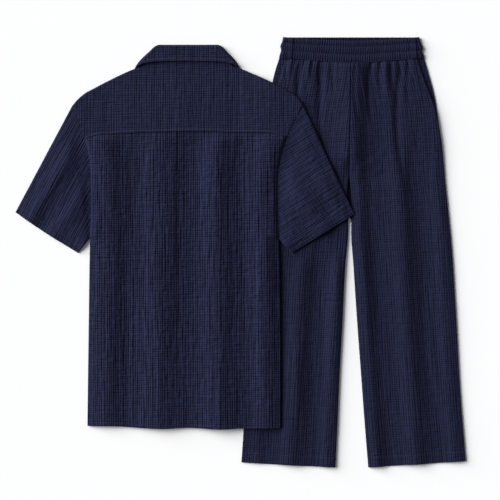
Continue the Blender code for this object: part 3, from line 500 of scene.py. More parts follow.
class Weave:
    """Short names for the nodes of one cloth's material."""

    def __init__(self, name):
        self.material = bpy.data.materials.new(name)
        self.material.use_nodes = True
        self.tree = self.material.node_tree
        self.shader = self.tree.nodes["Principled BSDF"]

    def put(self, socket, value):
        """Set a socket to a number, or link another node's output to it."""
        if isinstance(value, (int, float)):
            socket.default_value = value
        else:
            self.tree.links.new(value, socket)

    def math(self, kind, *values):
        """The output of a math node of one kind."""
        node = self.tree.nodes.new("ShaderNodeMath")
        node.operation = kind
        for socket, value in zip(node.inputs, values):
            self.put(socket, value)
        return node.outputs[0]

    def axes(self, turned):
        """The cloth's own two directions in metres, across the grain and along it."""
        grain_map = self.tree.nodes.new("ShaderNodeUVMap")
        grain_map.uv_map = "grain"
        parts = self.tree.nodes.new("ShaderNodeSeparateXYZ")
        self.put(parts.inputs[0], grain_map.outputs["UV"])
        across, along = parts.outputs[0], parts.outputs[1]
        return (along, across) if turned else (across, along)

    def noise(self, across, along, cell_across, cell_along, detail=1.0):
        """Noise from 0 to 1, with cells of two sizes in metres."""
        vector = self.tree.nodes.new("ShaderNodeCombineXYZ")
        self.put(vector.inputs[0], self.math("DIVIDE", across, cell_across))
        self.put(vector.inputs[1], self.math("DIVIDE", along, cell_along))
        texture = self.tree.nodes.new("ShaderNodeTexNoise")
        texture.noise_dimensions = "2D"
        texture.inputs["Scale"].default_value = 1.0
        texture.inputs["Detail"].default_value = detail
        self.put(texture.inputs["Vector"], vector.outputs[0])
        return texture.outputs["Fac"]

    def grooves(self, place_across, period, wander, sway, depth):
        """Narrow grooves a period apart, as 0 on the ribs and up to a depth in the grooves."""
        swayed = self.math("MULTIPLY_ADD", wander, sway, place_across)
        turn = self.math("MULTIPLY", swayed, math.pi / period)
        rib = self.math("ABSOLUTE", self.math("SINE", turn))
        return self.math("MULTIPLY", self.math("SUBTRACT", 1.0, rib), depth)

    def strength(self, noise, low, high):
        """How strong a groove is, from noise: its middle half is spread from low to high."""
        node = self.tree.nodes.new("ShaderNodeMapRange")
        self.put(node.inputs["Value"], noise)
        for name, value in (("From Min", 0.32), ("From Max", 0.68), ("To Min", low), ("To Max", high)):
            node.inputs[name].default_value = value
        return node.outputs[0]


def cloth_material(name, turned=False, tint=1.0, waffle=1.0, bar_share=1.0, wrinkled=1.0):
    """Navy crinkled cotton: a waffle of long uneven ribs and shorter bars, and its threads, with
    painted shade in its troughs and painted highlight on its crests.
    """
    material = bpy.data.materials.get(name)
    if material is not None:
        return material
    s = settings()
    kit = Weave(name)
    shader = kit.shader
    shader.inputs["Roughness"].default_value = s.roughness
    shader.inputs["Specular IOR Level"].default_value = 0.08
    shader.inputs["Sheen Weight"].default_value = s.sheen
    shader.inputs["Sheen Roughness"].default_value = 0.5
    shader.inputs["Sheen Tint"].default_value = (0.72, 0.76, 1.0, 1)
    u, v = kit.axes(turned)
    line_u = kit.strength(kit.noise(u, v, 0.0075, 0.070), 0.35, 1.0)
    line_v = kit.strength(kit.noise(v, u, 0.0075, 0.022), 0.55, 1.15)
    patch = kit.strength(kit.noise(u, v, 0.014, 0.030), 0.65, 1.0)
    other_patch = kit.strength(kit.noise(v, u, 0.012, 0.020), 0.60, 1.0)
    rib_wander, bar_wander = kit.noise(u, v, 0.015, 0.500), kit.noise(v, u, 0.013, 0.120)
    ribs = kit.grooves(u, s.rib_pitch, rib_wander, 0.0080, kit.math("MULTIPLY", line_u, patch))
    bars = kit.grooves(v, s.bar_pitch, bar_wander, 0.0080, kit.math("MULTIPLY", line_v, other_patch))
    grooves = kit.math("MULTIPLY_ADD", bars, bar_share, ribs)
    thread_u = kit.math("SINE", kit.math("MULTIPLY", u, 2 * math.pi / s.thread_pitch))
    thread_v = kit.math("SINE", kit.math("MULTIPLY", v, 2 * math.pi / s.thread_pitch))
    threads = kit.math("MULTIPLY", thread_u, thread_v)
    fuzz = kit.noise(u, v, 0.0016, 0.0024, 2.0)
    weave = kit.math("MULTIPLY", threads, 0.00003)
    height = kit.math("MULTIPLY_ADD", grooves, -s.pucker_depth * waffle, weave)
    height = kit.math("MULTIPLY_ADD", fuzz, 0.00070, height)
    wrinkles = kit.noise(u, v, 0.0075, 0.060)
    height = kit.math("MULTIPLY_ADD", wrinkles, s.wrinkle_depth * wrinkled, height)
    dashes = kit.noise(v, u, 0.0095, 0.018)
    height = kit.math("MULTIPLY_ADD", dashes, 0.8 * s.wrinkle_depth * wrinkled, height)
    bump = kit.tree.nodes.new("ShaderNodeBump")
    bump.inputs["Distance"].default_value = 1.0
    kit.put(bump.inputs["Height"], height)
    kit.put(shader.inputs["Normal"], bump.outputs["Normal"])
    relief = kit.tree.nodes.new("ShaderNodeAttribute")
    relief.attribute_name = "relief"
    # Painted shade and highlight: the colour darkens in the grooves and where the relief attribute,
    # the wrinkles and the fuzz are low, and lightens where they are high; the broad noise adds random
    # tone.
    shade = kit.math("MULTIPLY_ADD", grooves, -0.11 * waffle, 0.49)
    shade = kit.math("MULTIPLY_ADD", relief.outputs["Fac"], 0.30, shade)
    shade = kit.math("MULTIPLY_ADD", kit.noise(u, v, 0.022, 0.400, 2.0), 0.30, shade)
    shade = kit.math("MULTIPLY_ADD", wrinkles, 0.12 * wrinkled, shade)
    shade = kit.math("MULTIPLY_ADD", fuzz, 0.36, shade)
    ramp = kit.tree.nodes.new("ShaderNodeValToRGB")
    for element, place_on_ramp, factor in zip(
        ramp.color_ramp.elements, (0.45, 1.30), (s.trough_painted_shade, s.crest_painted_highlight)
    ):
        element.position = place_on_ramp / 1.6
        element.color = (*(channel_value * factor * tint for channel_value in s.navy), 1)
    kit.put(ramp.inputs["Fac"], kit.math("DIVIDE", shade, 1.6))
    kit.put(shader.inputs["Base Color"], ramp.outputs["Color"])
    return kit.material


def calm_cloth():
    """The cloth of the yoke and the collar, where fewer wrinkles show."""
    return cloth_material("navy_crinkle_yoke", waffle=0.72, bar_share=1.15, wrinkled=0.55)


def trousers_cloth():
    """The cloth of the legs and pockets, a little darker and calmer than the shirt's."""
    return cloth_material("navy_crinkle_trousers", tint=0.90, waffle=0.65, wrinkled=0.5)


def trousers_side(y):
    """The trousers' left side, as x of y from the middle of the waist."""
    return rail(BAND_LEFT[:-1] + TROUSERS_LEFT)(y)


def rest_height(x, y):
    """How high the shirt is held by what lies under it, at x and y from its own hem."""
    s = settings()
    shift_x, shift_y = SHIRT_AT[0] - TROUSERS_AT[0], SHIRT_AT[1] - TROUSERS_AT[1]
    over = x + shift_x - trousers_side(y + shift_y)
    hip_share = ease((y + shift_y - HIP_LEVEL_START) / HIP_LEVEL_RUN)
    level = s.level_over_leg + (s.level_over_hip - s.level_over_leg) * hip_share
    over_trousers = level * ease((over + CLIMB) / CLIMB)
    aside = np.maximum(np.abs(x - LEAF_MIDDLE[0]) - LEAF_HALF[0], 0)
    beyond = np.maximum(np.abs(y - LEAF_MIDDLE[1]) - LEAF_HALF[1], 0)
    over_leaf = (LEAF_WALL + LEAF_CLEARANCE) * (1 - ease(np.hypot(aside, beyond) / LEAF_FADE))
    return over_trousers + over_leaf


def from_centre(x, y):
    """Distance from the line halfway between the shirt's two sides."""
    return np.abs(x - (rail(SHIRT_LEFT)(y) + rail(SHIRT_RIGHT)(y)) / 2)


def back_lift(x, y):
    """The rise of the back over the two fronts, wide and soft, gone before the neck."""
    wide = 1 - ease((from_centre(x, y) - BACK_LIFT_HALF) / BACK_LIFT_FADE)
    return BACK_LIFT * wide * (1 - ease((y - BACK_LIFT_TOP) / BACK_LIFT_TOP_FADE))


def body_rows(zone, spacing, top_fold=0.0):
    """Rows of the shirt's body in its yoke zone, above the seam, or in its back zone."""
    if zone == "yoke":
        return stations(even(0.11, spacing), top_fold, 0)
    shares = []
    for side, edge in enumerate((SHIRT_LEFT, SHIRT_RIGHT)):
        top = meeting(rail(edge), through(YOKE_SEAM))
        bottom = float(through(SHIRT_HEM)(edge[-1][0]))
        knots = [top, UNDERARM[side] + FOLD_RADIUS, UNDERARM[side], bottom + 0.012, bottom]
        steps = ((0.213, spacing), (FOLD_RADIUS, spacing), (0.41, spacing), (0.012, HEM_SPACING))
        counts = [max(2, round(run / step)) for run, step in steps]
        runs = [np.linspace(a, b, n + 1)[:-1] for a, b, n in zip(knots, knots[1:], counts)]
        levels = np.concatenate(runs + [[bottom]])
        shares.append((top - levels) / (top - bottom))
    return stations(shares[0], right_shares=shares[1])


def body_place(column, row, top, bottom):
    """The x and y of a panel between the shirt's two sides."""
    left, right = rail(SHIRT_LEFT), rail(SHIRT_RIGHT)
    return place(
        column, row, lambda y: left(y) + HALF_GAP, lambda y: right(y) - HALF_GAP, top, bottom
    )


def over_underarm(column, y):
    """0 where the body's side is a side seam, and 1 where it is sewn to the sleeve."""
    underarm = np.where(column[0] < 0.5, UNDERARM[0], UNDERARM[1])[None, :]
    return ease((y - underarm) / FOLD_RADIUS)


def make_shirt_back():
    """The shirt's back below the yoke, with its folds and turned hem."""
    s = settings()
    seam, hem = through(YOKE_SEAM), through(SHIRT_HEM)
    column = stations(even(0.42, s.rib_spacing), BODY_EDGE, BODY_EDGE)
    row = body_rows("back", s.row_spacing)
    x, y = body_place(column, row, lambda x: seam(x) - HALF_GAP, hem)
    rise = column[2][None, :] + 0 * y
    low = UPPER_SEAM + (ARMHOLE_LOFT - UPPER_SEAM) * over_underarm(column, y)
    calm = from_end(row[0], 0.65, 0.004) * rise**2
    uneven = 1 + 0.30 * grain(x, y, 0.10, 0.16, 11)
    waves = s.fold_depth * uneven * ridges(column[0][None, :], BACK_FOLDS)
    waves = waves * ease((FOLDS_TOP - y) / FOLDS_FADE)
    hand = creases(x, y, SHIRT_CREASES)
    turned_hem = 0.0004 * ease((hem(x) + 0.0085 - y) / 0.001)
    hem_groove = -0.0003 * np.exp(-(((y - hem(x) - SHIRT_HEM_SEAM) / 0.0012) ** 2))
    fine = crinkle(x, y, 100)
    relief = s.crinkle_depth * fine + s.rumple_depth * rumple(x, y, 120)
    from_side = np.minimum(x - rail(SHIRT_LEFT)(y), rail(SHIRT_RIGHT)(y) - x)
    at_right = ease((x - 0.1) / 0.05)
    fall = (s.side_fall + s.hang_over * at_right) * np.exp(-from_side / 0.016)
    seam_dip = 0.0012 * np.exp(-(seam(x) - y) / 0.003)
    roll = from_side / ARMHOLE_ROLL_PLACE
    beside_sleeve = s.armhole_roll * over_underarm(column, y) * roll * np.exp(1 - roll)
    high = BODY_LOFT + waves + hand + back_lift(x, y) + beside_sleeve - fall - seam_dip
    high = high + turned_hem + hem_groove + relief * calm
    z = rest_height(x, y) + low + (high - low) * rise
    piece = sheet_object("shirt_back_cloth", x, y, z, x, y, fine * calm, s.cloth_thickness)
    as_cloth(
        to_layout(piece, SHIRT_AT), "shirt_back", cloth_material("navy_crinkle"),
    )


def make_shirt_yoke():
    """The yoke, with its felled seam and the rise over the shoulders."""
    s = settings()
    seam = through(YOKE_SEAM)
    column = stations(even(0.50, s.rib_spacing), BODY_EDGE, BODY_EDGE)
    row = body_rows("yoke", s.row_spacing * 0.4, FOLD_RADIUS)
    top = through(SHOULDER_LEFT + BACK_NECK + SHOULDER_RIGHT)
    x, y = body_place(column, row, top, lambda x: seam(x) + HALF_GAP)
    rise = column[2][None, :] + 0 * y
    shoulder = row[2][:, None] + 0 * x
    above_seam = y - seam(x)
    felled = 0.0019 * ease(above_seam / 0.0008) * ease((0.0058 - above_seam) / 0.0025)
    neck_dip = 0.0014 * ease((y - 0.775) / 0.03)
    calm = ease(above_seam / 0.006) * (rise * shoulder) ** 2
    fine = crinkle(x, y, 200)
    relief = s.crinkle_depth * 0.5 * fine + 0.8 * s.rumple_depth * rumple(x, y, 220)
    high = BODY_LOFT + back_lift(x, y) + felled - neck_dip + relief * calm
    sewn = UPPER_SEAM + (ARMHOLE_LOFT - UPPER_SEAM) * shoulder
    z = rest_height(x, y) + sewn + (UPPER_SEAM + (high - UPPER_SEAM) * shoulder - sewn) * rise
    piece = sheet_object("shirt_yoke_cloth", x, y, z, x, y, 0.5 * fine * calm, s.cloth_thickness)
    as_cloth(
        to_layout(piece, SHIRT_AT), "shirt_yoke", calm_cloth(),
    )


def to_layout(piece, at):
    """Move a piece's mesh from its garment's own zero to its place in the layout."""
    points = np.empty(len(piece.data.vertices) * 3)
    piece.data.vertices.foreach_get("co", points)
    points = points.reshape(-1, 3)
    points[:, 0] += at[0]
    points[:, 1] += at[1]
    piece.data.vertices.foreach_set("co", points.ravel())
    piece.data.update()
    return piece


def make_shirt_front(side):
    """One of the shirt's fronts, under the back."""
    s = settings()
    shoulder_table = (SHOULDER_LEFT, SHOULDER_RIGHT)[side > 0]
    neck = tuple((NECK_CENTRE + side * out, y) for out, y in FRONT_NECK)
    top = through(shoulder_table + neck)
    full = stations(even(0.43, s.under_spacing), FOLD_RADIUS, FOLD_RADIUS)
    column = full[:, (full[0] - 0.5) * side > -OVERLAP - 0.001]
    seam = through(YOKE_SEAM)
    upper_row = body_rows("yoke", s.under_spacing, FOLD_RADIUS)
    lower_row = body_rows("back", s.under_spacing)
    zones = (
        body_place(column, upper_row, top, seam),
        body_place(column, lower_row, seam, through(SHIRT_HEM)),
    )
    x, y = (np.vstack([upper[:-1], lower]) for upper, lower in zip(*zones))
    shoulder = np.concatenate([upper_row[2][:-1], np.ones(len(lower_row[2]))])[:, None]
    beside_neck = ease((np.abs(x - NECK_CENTRE) - 0.097) / 0.008)
    shoulder_rise = 1 - (1 - shoulder) * beside_neck
    side_rise = 1 - (1 - column[2][None, :]) * (1 - over_underarm(column, y))
    rise = np.minimum(shoulder_rise, side_rise)
    lift = BUTTON_THICKNESS + SEAM_GAP + 0.0019 * (side > 0)
    over_closure = lift * (1 - ease((from_centre(x, y) - 0.022) / 0.050))
    fine = crinkle(x, y, 300 + side)
    calm = ease((rise - 0.9) / 0.1)
    z = rest_height(x, y) + LOWER_SEAM * (1 - rise) + over_closure
    z = z + UNDER_RELIEF * (1 + fine) * calm * ease(y / 0.02)
    name = ("shirt_front_left", "shirt_front_right")[side > 0]
    piece = sheet_object(name + "_cloth", x, y, z, x, y, fine, s.cloth_thickness, upper=False)
    as_cloth(
        to_layout(piece, SHIRT_AT), name, cloth_material("navy_crinkle"),
    )


def make_sleeve(side):
    """A short sleeve, one piece folded round at its outer edge."""
    s = settings()
    name = ("sleeve_left", "sleeve_right")[side > 0]
    body = rail((SHIRT_LEFT, SHIRT_RIGHT)[side > 0])
    cuff_table = (SLEEVE_LEFT_CUFF, SLEEVE_RIGHT_CUFF)[side > 0]
    folds = (SLEEVE_FOLDS_LEFT, SLEEVE_FOLDS_RIGHT)[side > 0]
    cuff, cuff_length = path(cuff_table), length_of(cuff_table)
    underarm, shoulder = UNDERARM[side > 0], SHOULDER_LEFT[0][1]
    depth = shoulder - underarm
    half = stations(even(0.23, s.rib_spacing), SLEEVE_EDGE, FOLD_RADIUS)
    share, inset, rise, _ = np.concatenate([half, half[:, ::-1][:, 1:]], axis=1)
    above = np.arange(len(share)) < half.shape[1]
    v = hemmed(SLEEVE_LENGTH, s.row_spacing * 0.7, 0.022)[:, None]
    s_arm, s_cuff = share + inset / depth, share + inset / cuff_length
    arm_y = underarm + depth * s_arm
    cuff_x, cuff_y = cuff(s_cuff)
    x = (body(arm_y) + side * HALF_GAP) * (1 - v) + cuff_x * v
    y = arm_y * (1 - v) + cuff_y * v
    waves = SLEEVE_FOLD_SHARE * s.fold_depth * ridges(s_cuff, folds) * ease(v / 0.3)
    hem_start = 1 - SLEEVE_HEM / SLEEVE_LENGTH
    turned_hem = 0.0006 * ease((v - hem_start) / 0.012)
    hem_groove = -0.0004 * np.exp(-(((v - hem_start) / 0.010) ** 2))
    heel, tip = np.array(cuff_table[0]), np.array(cuff_table[-1])
    run = tip - SHIRT_LEFT[0] if side < 0 else np.array([tip[1] - heel[1], heel[0] - tip[0]])
    run_x, run_y = run / np.hypot(*run)
    grain_u = x * run_y - y * run_x + np.where(above, 0, 0.5)
    grain_v = x * run_x + y * run_y
    fine = crinkle(grain_u, grain_v, 400 + 20 * side, turned=side > 0)
    calm = ease(v / 0.05) * ease((rise - 0.2) / 0.8) * (1 - 0.5 * ease((v - hem_start) / 0.02))
    relief = 0.4 * s.crinkle_depth * fine + s.rumple_depth * rumple(grain_u, grain_v, 440)
    high = SLEEVE_LOFT + waves + turned_hem + hem_groove + relief * calm
    high = high + s.sleeve_swell * np.sin(np.pi * v) - s.edge_fall * np.exp(-(1 - s_cuff) / 0.09)
    high = ARMHOLE_LOFT + (high - ARMHOLE_LOFT) * ease(v / ARMHOLE_SLOPE)
    middle = np.full(len(share), SIDE_SEAM_HEIGHT)
    middle[0], middle[-1] = UPPER_SEAM, LOWER_SEAM
    base = rest_height(x, y)
    under = UNDER_RELIEF * (1 + fine) * calm * rise
    z = base + np.where(above, middle + (high - middle) * rise, middle * (1 - rise) + under)
    fields = [x, y, z, grain_u + 0 * x, grain_v + 0 * x, 0.5 * fine * calm]
    if side < 0:
        fields = [field[:, ::-1] for field in fields]
    piece = sheet_object(name + "_cloth", *fields, s.cloth_thickness)
    if side > 0:
        material = cloth_material(
            "navy_crinkle_crosswise", turned=True, waffle=0.58, bar_share=0.85, wrinkled=0.7
        )
    else:
        material = cloth_material("navy_crinkle_sleeve", waffle=0.58, bar_share=0.75, wrinkled=0.7)
    as_cloth(to_layout(piece, SHIRT_AT), name, material)


def make_collar():
    """The camp collar's fall and stand, and its two leaves."""
    s = settings()
    left, right = rail(FALL_LEFT), rail(FALL_RIGHT)
    lip = through(FALL_LIP)
    column = stations(even(0.19, 0.0016), COLLAR_RADIUS, COLLAR_RADIUS)
    row = stations(even(0.040, 0.0012), COLLAR_RADIUS, 0)
    x, y = place(column, row, left, right, lambda x: COLLAR_TOP + 0 * x, lip)
    nearer = np.minimum(np.abs(x - left(y)), np.abs(right(y) - x))
    corner = 1 - ease(nearer / FALL_CORNER_WIDTH)
    y = y - FALL_CORNER * corner * ease((y - FALL_CORNER_START) / FALL_CORNER_FADE)
    low = LEAF_WALL + SEAM_GAP
    fine = crinkle(x, y, 500)
    calm = np.minimum(column[2][None, :], row[2][:, None]) ** 2 * ease((y - lip(x)) / 0.006)
    edge_roll = 0.0016 * ease((0.0075 - (y - lip(x))) / 0.0035)
    top_groove = -0.0006 * np.exp(-(((y - lip(x) - 0.0070) / 0.0014) ** 2))
    high = FALL_LOFT + 0.0004 + edge_roll + top_groove + 0.8 * s.crinkle_depth * fine * calm
    rise = np.minimum(column[2][None, :], row[2][:, None])
    z = low + (high - low) * rise
    piece = sheet_object("collar_fall_cloth", x, y, z, x, y, fine * calm, FALL_CLOTH)
    as_cloth(
        to_layout(piece, SHIRT_AT), "collar_fall", calm_cloth(),
    )
    neck = through(((-0.097, 0.806),) + BACK_NECK + ((0.113, 0.806),))
    x, y = place(
        stations(even(0.17, 0.004)), stations(even(0.03, 0.003)),
        lambda y: left(y) + STAND_INSET, lambda y: right(y) - STAND_INSET,
        lambda x: STAND_TOP + 0 * x, lambda x: neck(x) - STAND_TUCK,
    )
    fine = crinkle(x, y, 520)
    z = STAND_LEVEL + 0.0002 * fine
    piece = sheet_object("collar_stand_cloth", x, y, z, x, y, fine, DOUBLED_CLOTH)
    as_cloth(
        to_layout(piece, SHIRT_AT), "collar_stand", calm_cloth(),
    )
    leaves = (
        ("collar_leaf_left", LEAF_LEFT_OUTER, LEAF_LEFT_INNER),
        ("collar_leaf_right", LEAF_RIGHT_INNER, LEAF_RIGHT_OUTER),
    )
    for name, first_table, second_table in leaves:
        first, second = path(first_table), path(second_table)
        v = even(0.20, 0.003)[:, None]
        t = even(0.07, 0.003)[None, :]
        (ax, ay), (bx, by) = first(v), second(v)
        x, y = ax * (1 - t) + bx * t, ay * (1 - t) + by * t
        fine = crinkle(x, y, 540)
        z = 0.0002 * (1 + fine) * from_end(v[:, 0], 0.2, 0.004)
        piece = sheet_object(
            name + "_cloth", x, y, z, x, y, fine, DOUBLED_CLOTH, upper=False
        )
        as_cloth(
            to_layout(piece, SHIRT_AT), name, calm_cloth(),
        )


def leg_edges(side, outer, crotch, gap=HALF_GAP):
    """The two sides of a leg panel, x of y: its outer edge, and its centre seam and inseam."""
    centre, inseam = rail(CENTRE_SEAM), rail((INSEAM_LEFT, INSEAM_RIGHT)[side > 0])

    def inner(y):
        return np.where(y > crotch, centre(y), inseam(y)) + side * gap

    return (inner, outer) if side > 0 else (outer, inner)


def puffs(turns):
    """Rounded puffs with narrow valleys between them, from -1 to 1, one for each turn."""
    return 2 * np.abs(np.sin(np.pi * turns)) ** 0.7 - 1


def make_trouser_back(side):
    """A back leg panel, with its gathers, folds and turned hem."""
    s = settings()
    outline = (TROUSERS_LEFT, TROUSERS_RIGHT)[side > 0]
    mouth = (MOUTH_LEFT, MOUTH_RIGHT)[side > 0]
    outer = rail(mouth + tuple(p for p in outline if p[1] < mouth[-1][1] - 0.01))
    hem = through((LEG_HEM_LEFT, LEG_HEM_RIGHT)[side > 0])
    band = through(BAND_BOTTOM)
    column = stations(even(0.205, s.rib_spacing), FOLD_RADIUS, FOLD_RADIUS)
    row = stations(hemmed(0.90, s.row_spacing, 0.026))
    left, right = leg_edges(side, outer, BACK_CROTCH)
    x, y = place(column, row, left, right, lambda x: band(x) - HALF_GAP, hem)
    inner_half = ((column[0] - 0.5) * side < 0)[None, :]
    centre_low = UPPER_SEAM + (CENTRE_SEAM_LOFT - UPPER_SEAM) * ease((y - BACK_CROTCH) / 0.08)
    centre_low = centre_low + CENTRE_SEAM_SHARE * CENTRE_RIDGE * ease((y - BACK_CROTCH) / 0.05)
    over_pocket = ease((y - POCKET_SEAM_END) / 0.008 + 1)
    mouth_low = UPPER_SEAM + (POCKET_LOFT + SEAM_GAP - UPPER_SEAM) * over_pocket
    low = np.where(inner_half, centre_low, mouth_low)
    hip = ease((y - HIP_START) / HIP_RUN)
    across = column[0][None, :]
    folds = (LEG_FOLDS_LEFT, LEG_FOLDS_RIGHT)[side > 0]
    uneven = 1 + 0.30 * grain(x, y, 0.09, 0.20, 31 + side)
    waves = LEG_FOLD_SHARE * s.fold_depth * uneven * ridges(across, folds) * (1 - 0.75 * hip)
    if side < 0:
        waves = waves * (0.2 + 0.8 * ease((-0.46 - y) / 0.06))
    flank = (CENTRE_RIDGE_LEFT, CENTRE_RIDGE_RIGHT)[side > 0]
    beside_seam = np.exp(-(((x - rail(CENTRE_SEAM)(y)) / flank) ** 2))
    ridge = CENTRE_RIDGE * beside_seam * ease((y - BACK_CROTCH) / 0.05)
    below_band = band(x) - y
    wander = across + 0.012 * grain(across, below_band, 0.15, 0.05, 41 + side)
    depth = 1 + 0.55 * grain(across, below_band, 0.07, 0.40, 47 + side)
    reach = 0.040 * (1 + 0.6 * grain(across, 0 * y, 0.09, 1.0, 53 + side))
    fade = np.exp(-below_band / reach) * (1 - beside_seam)
    gathers = s.gather_depth * depth * puffs(GATHERS_PER_PANEL * wander) * fade
    small = 0.5 * s.gather_depth * puffs(2.3 * GATHERS_PER_PANEL * wander + 0.3)
    gathers = gathers + small * np.exp(-below_band / 0.016)
    gathers = gathers + s.drag_share * creases(x, y, GATHER_CREASES)
    seam_dip = s.seam_dip * np.exp(-below_band / 0.0035)
    turned_hem = 0.0004 * ease((hem(x) + 0.0225 - y) / 0.001)
    hem_groove = -0.0003 * np.exp(-(((y - hem(x) - LEG_HEM_SEAM) / 0.0012) ** 2))
    u = x - (left(y) + right(y)) / 2
    fine = crinkle(u, y, 600 + 20 * side)
    calm = from_end(row[0], 0.90, 0.004) * column[2][None, :] ** 2
    relief = 0.5 * s.crinkle_depth * fine + s.rumple_depth * rumple(x, y, 640 + side)
    hand = creases(x, y, TROUSER_CREASES)
    high = LEG_LOFT + (HIP_LOFT + s.hip_fullness - LEG_LOFT) * hip + waves + ridge + gathers + hand
    high = high + turned_hem + hem_groove + relief * calm - seam_dip
    z = low + (high - low) * column[2][None, :]
    name = ("trouser_back_left", "trouser_back_right")[side > 0]
    piece = sheet_object(name + "_cloth", x, y, z, u, y, 0.5 * fine * calm, s.cloth_thickness)
    as_cloth(
        to_layout(piece, TROUSERS_AT), name, trousers_cloth(),
    )


def make_trouser_front(side):
    """A front leg panel, which lies under the back one."""
    s = settings()
    hem = through((LEG_HEM_LEFT, LEG_HEM_RIGHT)[side > 0])
    band = through(BAND_BOTTOM)
    column = stations(even(0.21, s.under_spacing), FOLD_RADIUS, FOLD_RADIUS)
    outer = rail((TROUSERS_LEFT, TROUSERS_RIGHT)[side > 0])
    left, right = leg_edges(side, outer, FRONT_CROTCH, gap=-HALF_GAP)
    row = stations(even(0.90, s.under_spacing))
    x, y = place(column, row, left, right, lambda x: band(x) - HALF_GAP, hem)
    inner_half = ((column[0] - 0.5) * side < 0)[None, :]
    sewn = np.where(inner_half, ease((y - FRONT_CROTCH) / 0.006), 0)
    rise = 1 - (1 - column[2][None, :]) * (1 - sewn)
    fine = crinkle(x, y, 700 + side)
    calm = ease((rise - 0.9) / 0.1) * from_end(row[0], 0.9, 0.02) * ease((0.25 - np.abs(x)) / 0.03)
    calm = calm * ease((np.abs(x) - 0.004) / 0.012)
    z = LOWER_SEAM * (1 - rise) + UNDER_RELIEF * (1 + fine) * calm
    name = ("trouser_front_left", "trouser_front_right")[side > 0]
    piece = sheet_object(name + "_cloth", x, y, z, x, y, fine, s.cloth_thickness, upper=False)
    # Painted shade on the fronts' inside faces, which show in the slit between the legs.
    paint_shade_on_lower_face(piece, s.lower_face_painted_shade)
    as_cloth(
        to_layout(piece, TROUSERS_AT), name, trousers_cloth(),
    )


def make_pocket(side):
    """The facing and bag of a slanted side pocket."""
    s = settings()
    outer = rail((TROUSERS_LEFT, TROUSERS_RIGHT)[side > 0])
    band = through(BAND_BOTTOM)
    bottom = through((POCKET_BOTTOM_LEFT, POCKET_BOTTOM_RIGHT)[side > 0])

    def inner(y):
        return 0 * y + side * POCKET_INNER

    left, right = (outer, inner) if side < 0 else (inner, outer)
    ends = (POCKET_RADIUS, 0) if side < 0 else (0, POCKET_RADIUS)
    column = stations(even(0.08, 0.0025), *ends)
    row = stations(even(0.20, 0.0035))
    x, y = place(column, row, left, right, lambda x: band(x) - HALF_GAP, bottom)
    fine = crinkle(x, y, 760 + side)
    rise = column[2][None, :] + 0 * y
    z = UPPER_SEAM + (POCKET_LOFT - 0.0003 - UPPER_SEAM) * rise + 0.0002 * fine * rise
    name = ("pocket_left", "pocket_right")[side > 0]
    piece = sheet_object(name + "_cloth", x, y, z, x, y, fine, POCKET_CLOTH)
    as_cloth(
        to_layout(piece, TROUSERS_AT), name, trousers_cloth(),
    )


def channel(share):
    """How far the waistband's three channels swell between their lines of stitching."""
    swell = np.zeros_like(share)
    for first, last in zip(STITCHING[:-1], STITCHING[1:]):
        t = np.clip((share - first) / (last - first), 0, 1)
        swell = np.maximum(swell, np.sin(np.pi * t) ** 0.6)
    return swell


def ruches(across, down):
    """Fine uneven gathers of the elastic band: they run across its three channels."""
    lane = np.searchsorted(np.array(STITCHING[1:-1]), down[:, 0])[:, None]
    shifted = across + 0.004 * grain(across, down, 0.020, 0.25, 801) + 0.003 * lane
    depth = 0.75 + 0.5 * grain(shifted, 0 * across + lane, 0.014, 0.9, 803)
    forked = 0.35 * np.cos(2 * np.pi * 2.13 * RUCHES * shifted + 1.7 * lane)
    return depth * np.cos(2 * np.pi * RUCHES * shifted + 0.8 * lane) + forked


def make_waistband():
    """The near and far halves of the elastic waistband."""
    s = settings()
    left, right = rail(BAND_LEFT), rail(BAND_RIGHT)
    bottom = through(BAND_BOTTOM)
    column = stations(even(0.31, 0.00105), BAND_RADIUS, BAND_RADIUS)
    row = stations(even(0.049, 0.00125))
    x, y = place(column, row, left, right, through(BAND_TOP), lambda x: bottom(x) + HALF_GAP)
    low = BAND_SEAM_HEIGHT + HALF_GAP
    across, down = column[0][None, :] + 0 * y, row[0][:, None] + 0 * x
    puff = channel(down)
    fine = ruches(across, down)
    high = BAND_LOFT + s.channel_swell * puff + s.ruche_depth * fine * (0.35 + 0.65 * puff)
    z = low + (high - low) * column[2][None, :]
    y = y + 0.0005 * grain(across * 0.31, 0 * y, 0.004, 1.0, 811) * (down == 0)
    piece = sheet_object("waistband_back_cloth", x, y, z, x, y, 0.8 * fine, BAND_CLOTH)
    as_cloth(
        to_layout(piece, TROUSERS_AT), "waistband_back",
        cloth_material("navy_crinkle_band", tint=0.84, waffle=0.3, wrinkled=0.2),
    )
    column = stations(even(0.31, 0.0016), BAND_RADIUS, BAND_RADIUS)
    row = stations(even(0.049, 0.002))
    x, y = place(
        column, row, left, right,
        lambda x: FAR_BAND_TOP + 0 * x, lambda x: bottom(x) + HALF_GAP,
    )
    low = BAND_SEAM_HEIGHT - HALF_GAP
    across, down = column[0][None, :] + 0 * y, row[0][:, None] + 0 * x
    fine = ruches(across, down)
    calm = column[2][None, :] ** 2
    under = 0.0006 * (1 - channel(down)) + UNDER_RELIEF * (1 + np.clip(fine, -1, 1))
    z = low * (1 - column[2][None, :]) + under * calm
    piece = sheet_object(
        "waistband_front_cloth", x, y, z, x, y, 0.8 * fine, DOUBLED_CLOTH, upper=False
    )
    # The far half's inner face gets a darker copy of the cloth: painted shade.
    as_cloth(
        to_layout(piece, TROUSERS_AT), "waistband_front",
        cloth_material("navy_crinkle_painted_shade", tint=0.6),
    )


